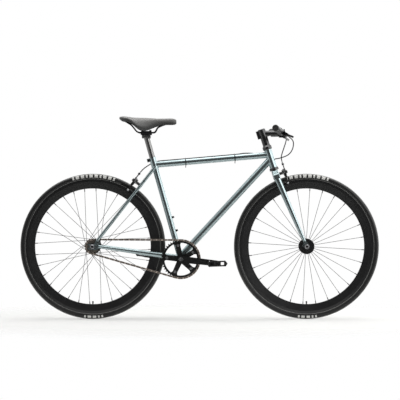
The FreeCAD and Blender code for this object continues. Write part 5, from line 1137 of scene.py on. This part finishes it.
@dataclass
class ShoeNuts:
    """Domed nuts on the studs of the brake shoes.

    Attributes:
        origin: middle of a caliper's mounting face.
        up: direction from the axle to the caliper.
        ahead: direction in which the caliper stands off its mount.
        end: the word for the caliper in the bodies' names.
        drop: how far the studs lie below the mounting face's middle.
        reach: distance of the arms' outer faces from the middle plane.
        anchor_level: distance of the anchor arm from the mounting face.
        adjuster_level: the same of the adjuster arm.
    """

    origin: Vector
    up: Vector
    ahead: Vector
    end: str
    drop: float = 52 * MM
    reach: float = 36.4 * MM
    anchor_level: float = 24.25 * MM
    adjuster_level: float = 31.55 * MM

    def build(self) -> None:
        """Model one washer and nut and copy it to both arms."""
        pattern = lathe(
            rings((0, 6.2), (0.8, 6.2), (0.9, 4.6), (4.2, 4.6), (5.4, 3.9), (6.2, 2.4), (6.5, 0.8)), 24)
        for side, arm, level in ((-1, "anchor_side", self.anchor_level), (1, "adjuster_side", self.adjuster_level)):
            place = self.origin + self.ahead * level - self.up * self.drop + SIDE * side * self.reach
            nut = copy_to(pattern, f"{self.end}_shoe_nut_{arm}", aim(place, SIDE * side))
            dress(nut, BRIGHT_STEEL)
            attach(nut, f"{self.end}_caliper_{arm}")
        discard(pattern)


# Studio


# Name, place, point that it faces, width and height, and watts of each softbox
SOFTBOXES = (
    ("top_softbox", (0.0, 0.25, 3.2), (0.0, 0.25, 0.0), (4.6, 2.8), 92),
    ("front_softbox", (3.0, -2.8, 2.2), (0.0, 0.0, 0.5), (2.0, 2.0), 34),
    ("right_softbox", (3.4, -0.2, 1.2), (0.2, 0.0, 0.5), (1.8, 2.0), 18),
    ("back_softbox", (1.8, 3.4, 2.0), (0.0, 0.0, 0.5), (2.2, 2.2), 30),
)


@dataclass
class Studio:
    """Pale floor, soft light, white surroundings and the camera.

    Attributes:
        camera_place: where the camera stands.
        lens: focal length in millimetres on a 36 mm sensor.
        floor_half: half of the floor's length and width.
        fade_start: distance from the middle at which the floor starts to fade out.
        fill: level of the surroundings as a light.
        lift: share of plain white in the floor as it is seen.
    """

    camera_place: Vector
    lens: float = 192.5
    floor_half: float = 1.6
    fade_start: float = 0.75
    fill: float = 0.36
    lift: float = 0.12

    def build(self) -> None:
        """Make the floor, the lights, the surroundings and the camera."""
        self.surroundings()
        self.floor()
        for softbox in SOFTBOXES:
            self.lamp(*softbox)
        self.camera()

    def surroundings(self) -> None:
        """White to the camera, a studio with dark ends in reflections, and a plain even fill for the rest."""
        world = bpy.data.worlds.new("studio_white")
        bpy.context.scene.world = world
        world.use_nodes = True
        tree = world.node_tree
        tree.nodes.clear()
        ray = add_node(tree, "LightPath").outputs
        mirror = calc(tree, "MAXIMUM", ray["Is Glossy Ray"], ray["Is Transmission Ray"])
        seen = calc(tree, "MAXIMUM", ray["Is Camera Ray"], mirror)
        way = add_node(tree, "TexCoord")
        across = add_node(tree, "SeparateXYZ", {0: way.outputs["Generated"]}).outputs
        # The camera's end of the room is dark, the far end dimmer and the left a little dimmer than the right.
        front = remap(tree, across["Y"], (-0.9, -0.42), (0.1, 1.0))
        back = remap(tree, across["Y"], (0.8, 1.0), (1.0, 0.3))
        left = remap(tree, across["X"], (-1.0, 0.6), (0.7, 1.0), "LINEAR")
        shade = calc(tree, "MULTIPLY", calc(tree, "MULTIPLY", front, back), left)
        in_mirror = add_node(tree, "Mix", {"data_type": "FLOAT", 0: mirror, 2: 1.0, 3: shade})
        level = add_node(tree, "Mix", {"data_type": "FLOAT", 0: seen, 2: self.fill, 3: in_mirror.outputs[0]})
        glow = add_node(tree, "Background", {"Color": linear("#FFFFFF"), "Strength": level.outputs[0]})
        add_node(tree, "OutputWorld", {"Surface": glow.outputs[0]})

    def floor(self) -> None:
        """A pale floor that keeps the soft shadow and fades into the white around it."""
        clear_selection()
        bpy.ops.mesh.primitive_plane_add(size=2 * self.floor_half, location=(0, 0, -0.5 * MM))
        floor = bpy.context.object
        floor.name = "studio_floor"
        made, tree = new_material("pale_studio_floor")
        place = add_node(tree, "TexCoord").outputs["Object"]
        reach = add_node(tree, "VectorMath", {"operation": "LENGTH", 0: place})
        fade = remap(tree, reach.outputs["Value"], (self.fade_start, self.floor_half))
        ray = add_node(tree, "LightPath").outputs
        seen = calc(tree, "MAXIMUM", ray["Is Camera Ray"], ray["Is Glossy Ray"])
        matt = add_node(tree, "BsdfDiffuse", {"Color": linear("#F4F4F2")})
        glow = add_node(tree, "Emission", {"Color": linear("#FFFFFF"), "Strength": 1.0})
        lift = calc(tree, "MULTIPLY", seen, self.lift)
        pale = add_node(tree, "MixShader", {0: lift, 1: matt.outputs[0], 2: glow.outputs[0]})
        clear = add_node(tree, "BsdfTransparent")
        whole = add_node(tree, "MixShader", {0: fade, 1: pale.outputs[0], 2: clear.outputs[0]})
        add_node(tree, "OutputMaterial", {"Surface": whole.outputs[0]})
        floor.data.materials.append(made)

    def lamp(self, name: str, place: tuple[float, float, float], target: tuple[float, float, float],
             size: tuple[float, float], power: float) -> None:
        """Hang one softbox.

        Args:
            name: the lamp's name.
            place: where it hangs.
            target: the point that it faces.
            size: width and height of the box.
            power: power in watts.
        """
        bpy.ops.object.light_add(type="AREA", location=place)
        lamp = bpy.context.object
        lamp.name = name
        lamp.data.shape = "RECTANGLE"
        lamp.data.size, lamp.data.size_y = size
        lamp.data.energy = power
        lamp.rotation_euler = (Vector(target) - Vector(place)).to_track_quat("-Z", "Y").to_euler()

    def camera(self) -> None:
        """Stand the camera square to the drive side."""
        bpy.ops.object.camera_add(location=self.camera_place, rotation=(math.pi / 2, 0, 0))
        camera = bpy.context.object
        camera.name = "side_camera"
        camera.data.lens = self.lens
        camera.data.clip_end = 60
        bpy.context.scene.camera = camera


FRONT_CABLE = Cable("front_brake_housing", "front_brake_cable", "steering", (
    (0.40406, 0.10103, 0.85498), (0.40983, 0.06762, 0.85241), (0.40430, 0.04000, 0.82498),
    (0.38630, 0.02600, 0.77498), (0.38088, 0.02600, 0.75127), (0.38830, 0.02600, 0.72845)))
CABLE_LOOP = Cable("rear_brake_housing_loop", "rear_brake_cable_loop", "steering", (
    (0.40406, -0.10103, 0.85498), (0.41085, -0.06172, 0.85196), (0.44206, -0.03503, 0.82898),
    (0.42806, -0.00903, 0.77098), (0.37406, 0.00897, 0.74898), (0.32850, 0.02950, 0.74729),
    (0.26191, 0.02375, 0.77368), (0.21138, 0.00916, 0.77548), (0.18163, 0.00578, 0.76998),
    (0.16363, 0.00578, 0.76842)), far_body="frame", turn=((0.40, 0.0, 0.79), (0.22, 0.01, 0.775)),
    ferrules=(True, False))
REAR_CABLE = Cable("rear_brake_housing", "rear_brake_cable", "frame", (
    (0.16363, 0.00578, 0.76842), (-0.13637, 0.00578, 0.74242), (-0.20828, 0.02650, 0.73752),
    (-0.24547, 0.03000, 0.71460), (-0.26571, 0.02600, 0.70071), (-0.28052, 0.02600, 0.68182)),
    ferrules=(False, True))


def screw_places() -> tuple[tuple[str, Vector, Vector, float, str], ...]:
    """Return the heads that get a key hole: name, place, direction, radius and body."""
    places = []
    for side in (-15 * MM, 15 * MM):
        for level, foot in (("low", Vector((0.38287, 0, 0.85009))), ("high", Vector((0.38231, 0, 0.88209)))):
            word = "right" if side < 0 else "left"
            head = foot + SIDE * side + STEM_AHEAD * 13.6 * MM
            places.append((f"faceplate_screw_{word}_{level}", head, STEM_AHEAD, 4.3 * MM, "steering"))
    pinch = Vector((0.29460, 0, 0.86456)) - STEER_FORWARD * 22 * MM
    for side, lift, word in ((-1, -10.26 * MM, "right"), (1, 10.26 * MM, "left")):
        head = pinch + STEER_UP * lift + SIDE * side * 13 * MM
        places.append((f"stem_pinch_screw_{word}", head, SIDE * side, 4.3 * MM, "steering"))
    binder = Vector((-0.23956, 0, 0.74015))
    for side, word in ((-1, "right"), (1, "left")):
        places.append((f"seat_binder_screw_{word}", binder + SIDE * side * 12 * MM, SIDE * side, 5.1 * MM, "frame"))
    for index, head in enumerate((Vector((-0.10326, 0, 0.41490)), Vector((-0.12058, 0, 0.47651)))):
        places.append((f"bottle_screw_{index + 1}", head, SEAT_FORWARD, 4.5 * MM, "frame"))
    cap = Vector((0.28873, 0, 0.88263)) + STEER_UP * 2 * MM
    places.append(("top_cap_screw", cap, STEER_UP, 5.0 * MM, "steering"))
    return tuple(places)


def knobs() -> tuple[Knob, ...]:
    """Return the sleeves on the adjusters of both calipers and both levers."""
    front, rear = Vector(FRONT_CABLE.route[-1]), Vector(REAR_CABLE.route[-1])
    left, right = Vector(FRONT_CABLE.route[0]), Vector(CABLE_LOOP.route[0])
    inset = 0.4 * MM
    return (
        Knob("front_brake_adjuster", front - STEER_UP * inset, STEER_UP, 5 * MM, 9 * MM,
             "front_caliper_adjuster_side"),
        Knob("rear_brake_adjuster", rear - STAY_UP * inset, STAY_UP, 5 * MM, 9 * MM, "rear_caliper_adjuster_side"),
        Knob("left_lever_adjuster", left, BAR_OUT * -1, 4.5 * MM, 8 * MM, "steering"),
        Knob("right_lever_adjuster", right, Vector((-BAR_OUT.x, BAR_OUT.y, -BAR_OUT.z)), 4.5 * MM, 8 * MM,
             "steering"),
    )


def build_all(pieces: Sequence, deed: str) -> None:
    """Build named pieces in order and log what was done to each."""
    for piece in pieces:
        piece.build()
        LOG.info("%s %s", piece.name, deed)


def main() -> None:
    """Load the frame, dress it and add the pieces of the looks."""
    logging.basicConfig(level=logging.INFO, format="%(name)s: %(message)s")
    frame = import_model()
    bpy.context.scene.view_settings.view_transform = "Standard"
    Studio(Vector((0.0016, -10.0, 0.5555))).build()
    for finish, nodes in NODE_FINISH.items():
        for node in nodes:
            dress(frame["nodes"][node], finish)
            LOG.info("%s dressed in %s", node, finish.name)
    build_all((FRONT_CABLE, CABLE_LOOP, REAR_CABLE), "run")
    build_all((Tyre("rear_tyre_skin", "rear_tyre", "rear_wheel", REAR_AXLE),
               Tyre("front_tyre_skin", "front_tyre", "front_wheel", FRONT_AXLE)), "fitted")
    for bead in weld_beads():
        bead.build("frame")
        LOG.info("%s laid", bead.name)
    Saddle(frame["nodes"]["saddle_cover"], frame["nodes"]["saddle_shell"]).build()
    LOG.info("saddle padded")
    Grip().build()
    LOG.info("grips pushed on")
    SocketScrews(places=screw_places()).build()
    LOG.info("key holes cut")
    build_all(knobs(), "knurled")
    ChainPins().build()
    LOG.info("chain riveted")
    # Bright rings on the rim lips: a painted highlight.
    build_all((RimEdge("rear_rim_edge", "rear_wheel", REAR_AXLE),
               RimEdge("front_rim_edge", "front_wheel", FRONT_AXLE)), "painted bright")
    for nuts in (ShoeNuts(Vector((0.371703, 0, 0.677423)), STEER_UP, STEER_FORWARD, "front"),
                 ShoeNuts(Vector((-0.282465, 0, 0.6282)), STAY_UP, Vector((-STAY_UP.z, 0, STAY_UP.x)), "rear")):
        nuts.build()
        LOG.info("%s shoe nuts tightened", nuts.end)
    build_all((PedalTrim("right_pedal", Vector((0.08095, 0, 0.26105)), -1, 2.0, "right_pedal"),
               PedalTrim("left_pedal", Vector((-0.25693, 0, 0.29895)), 1, -7.7, "left_pedal")), "trimmed")


if __name__ == "__main__":
    main()
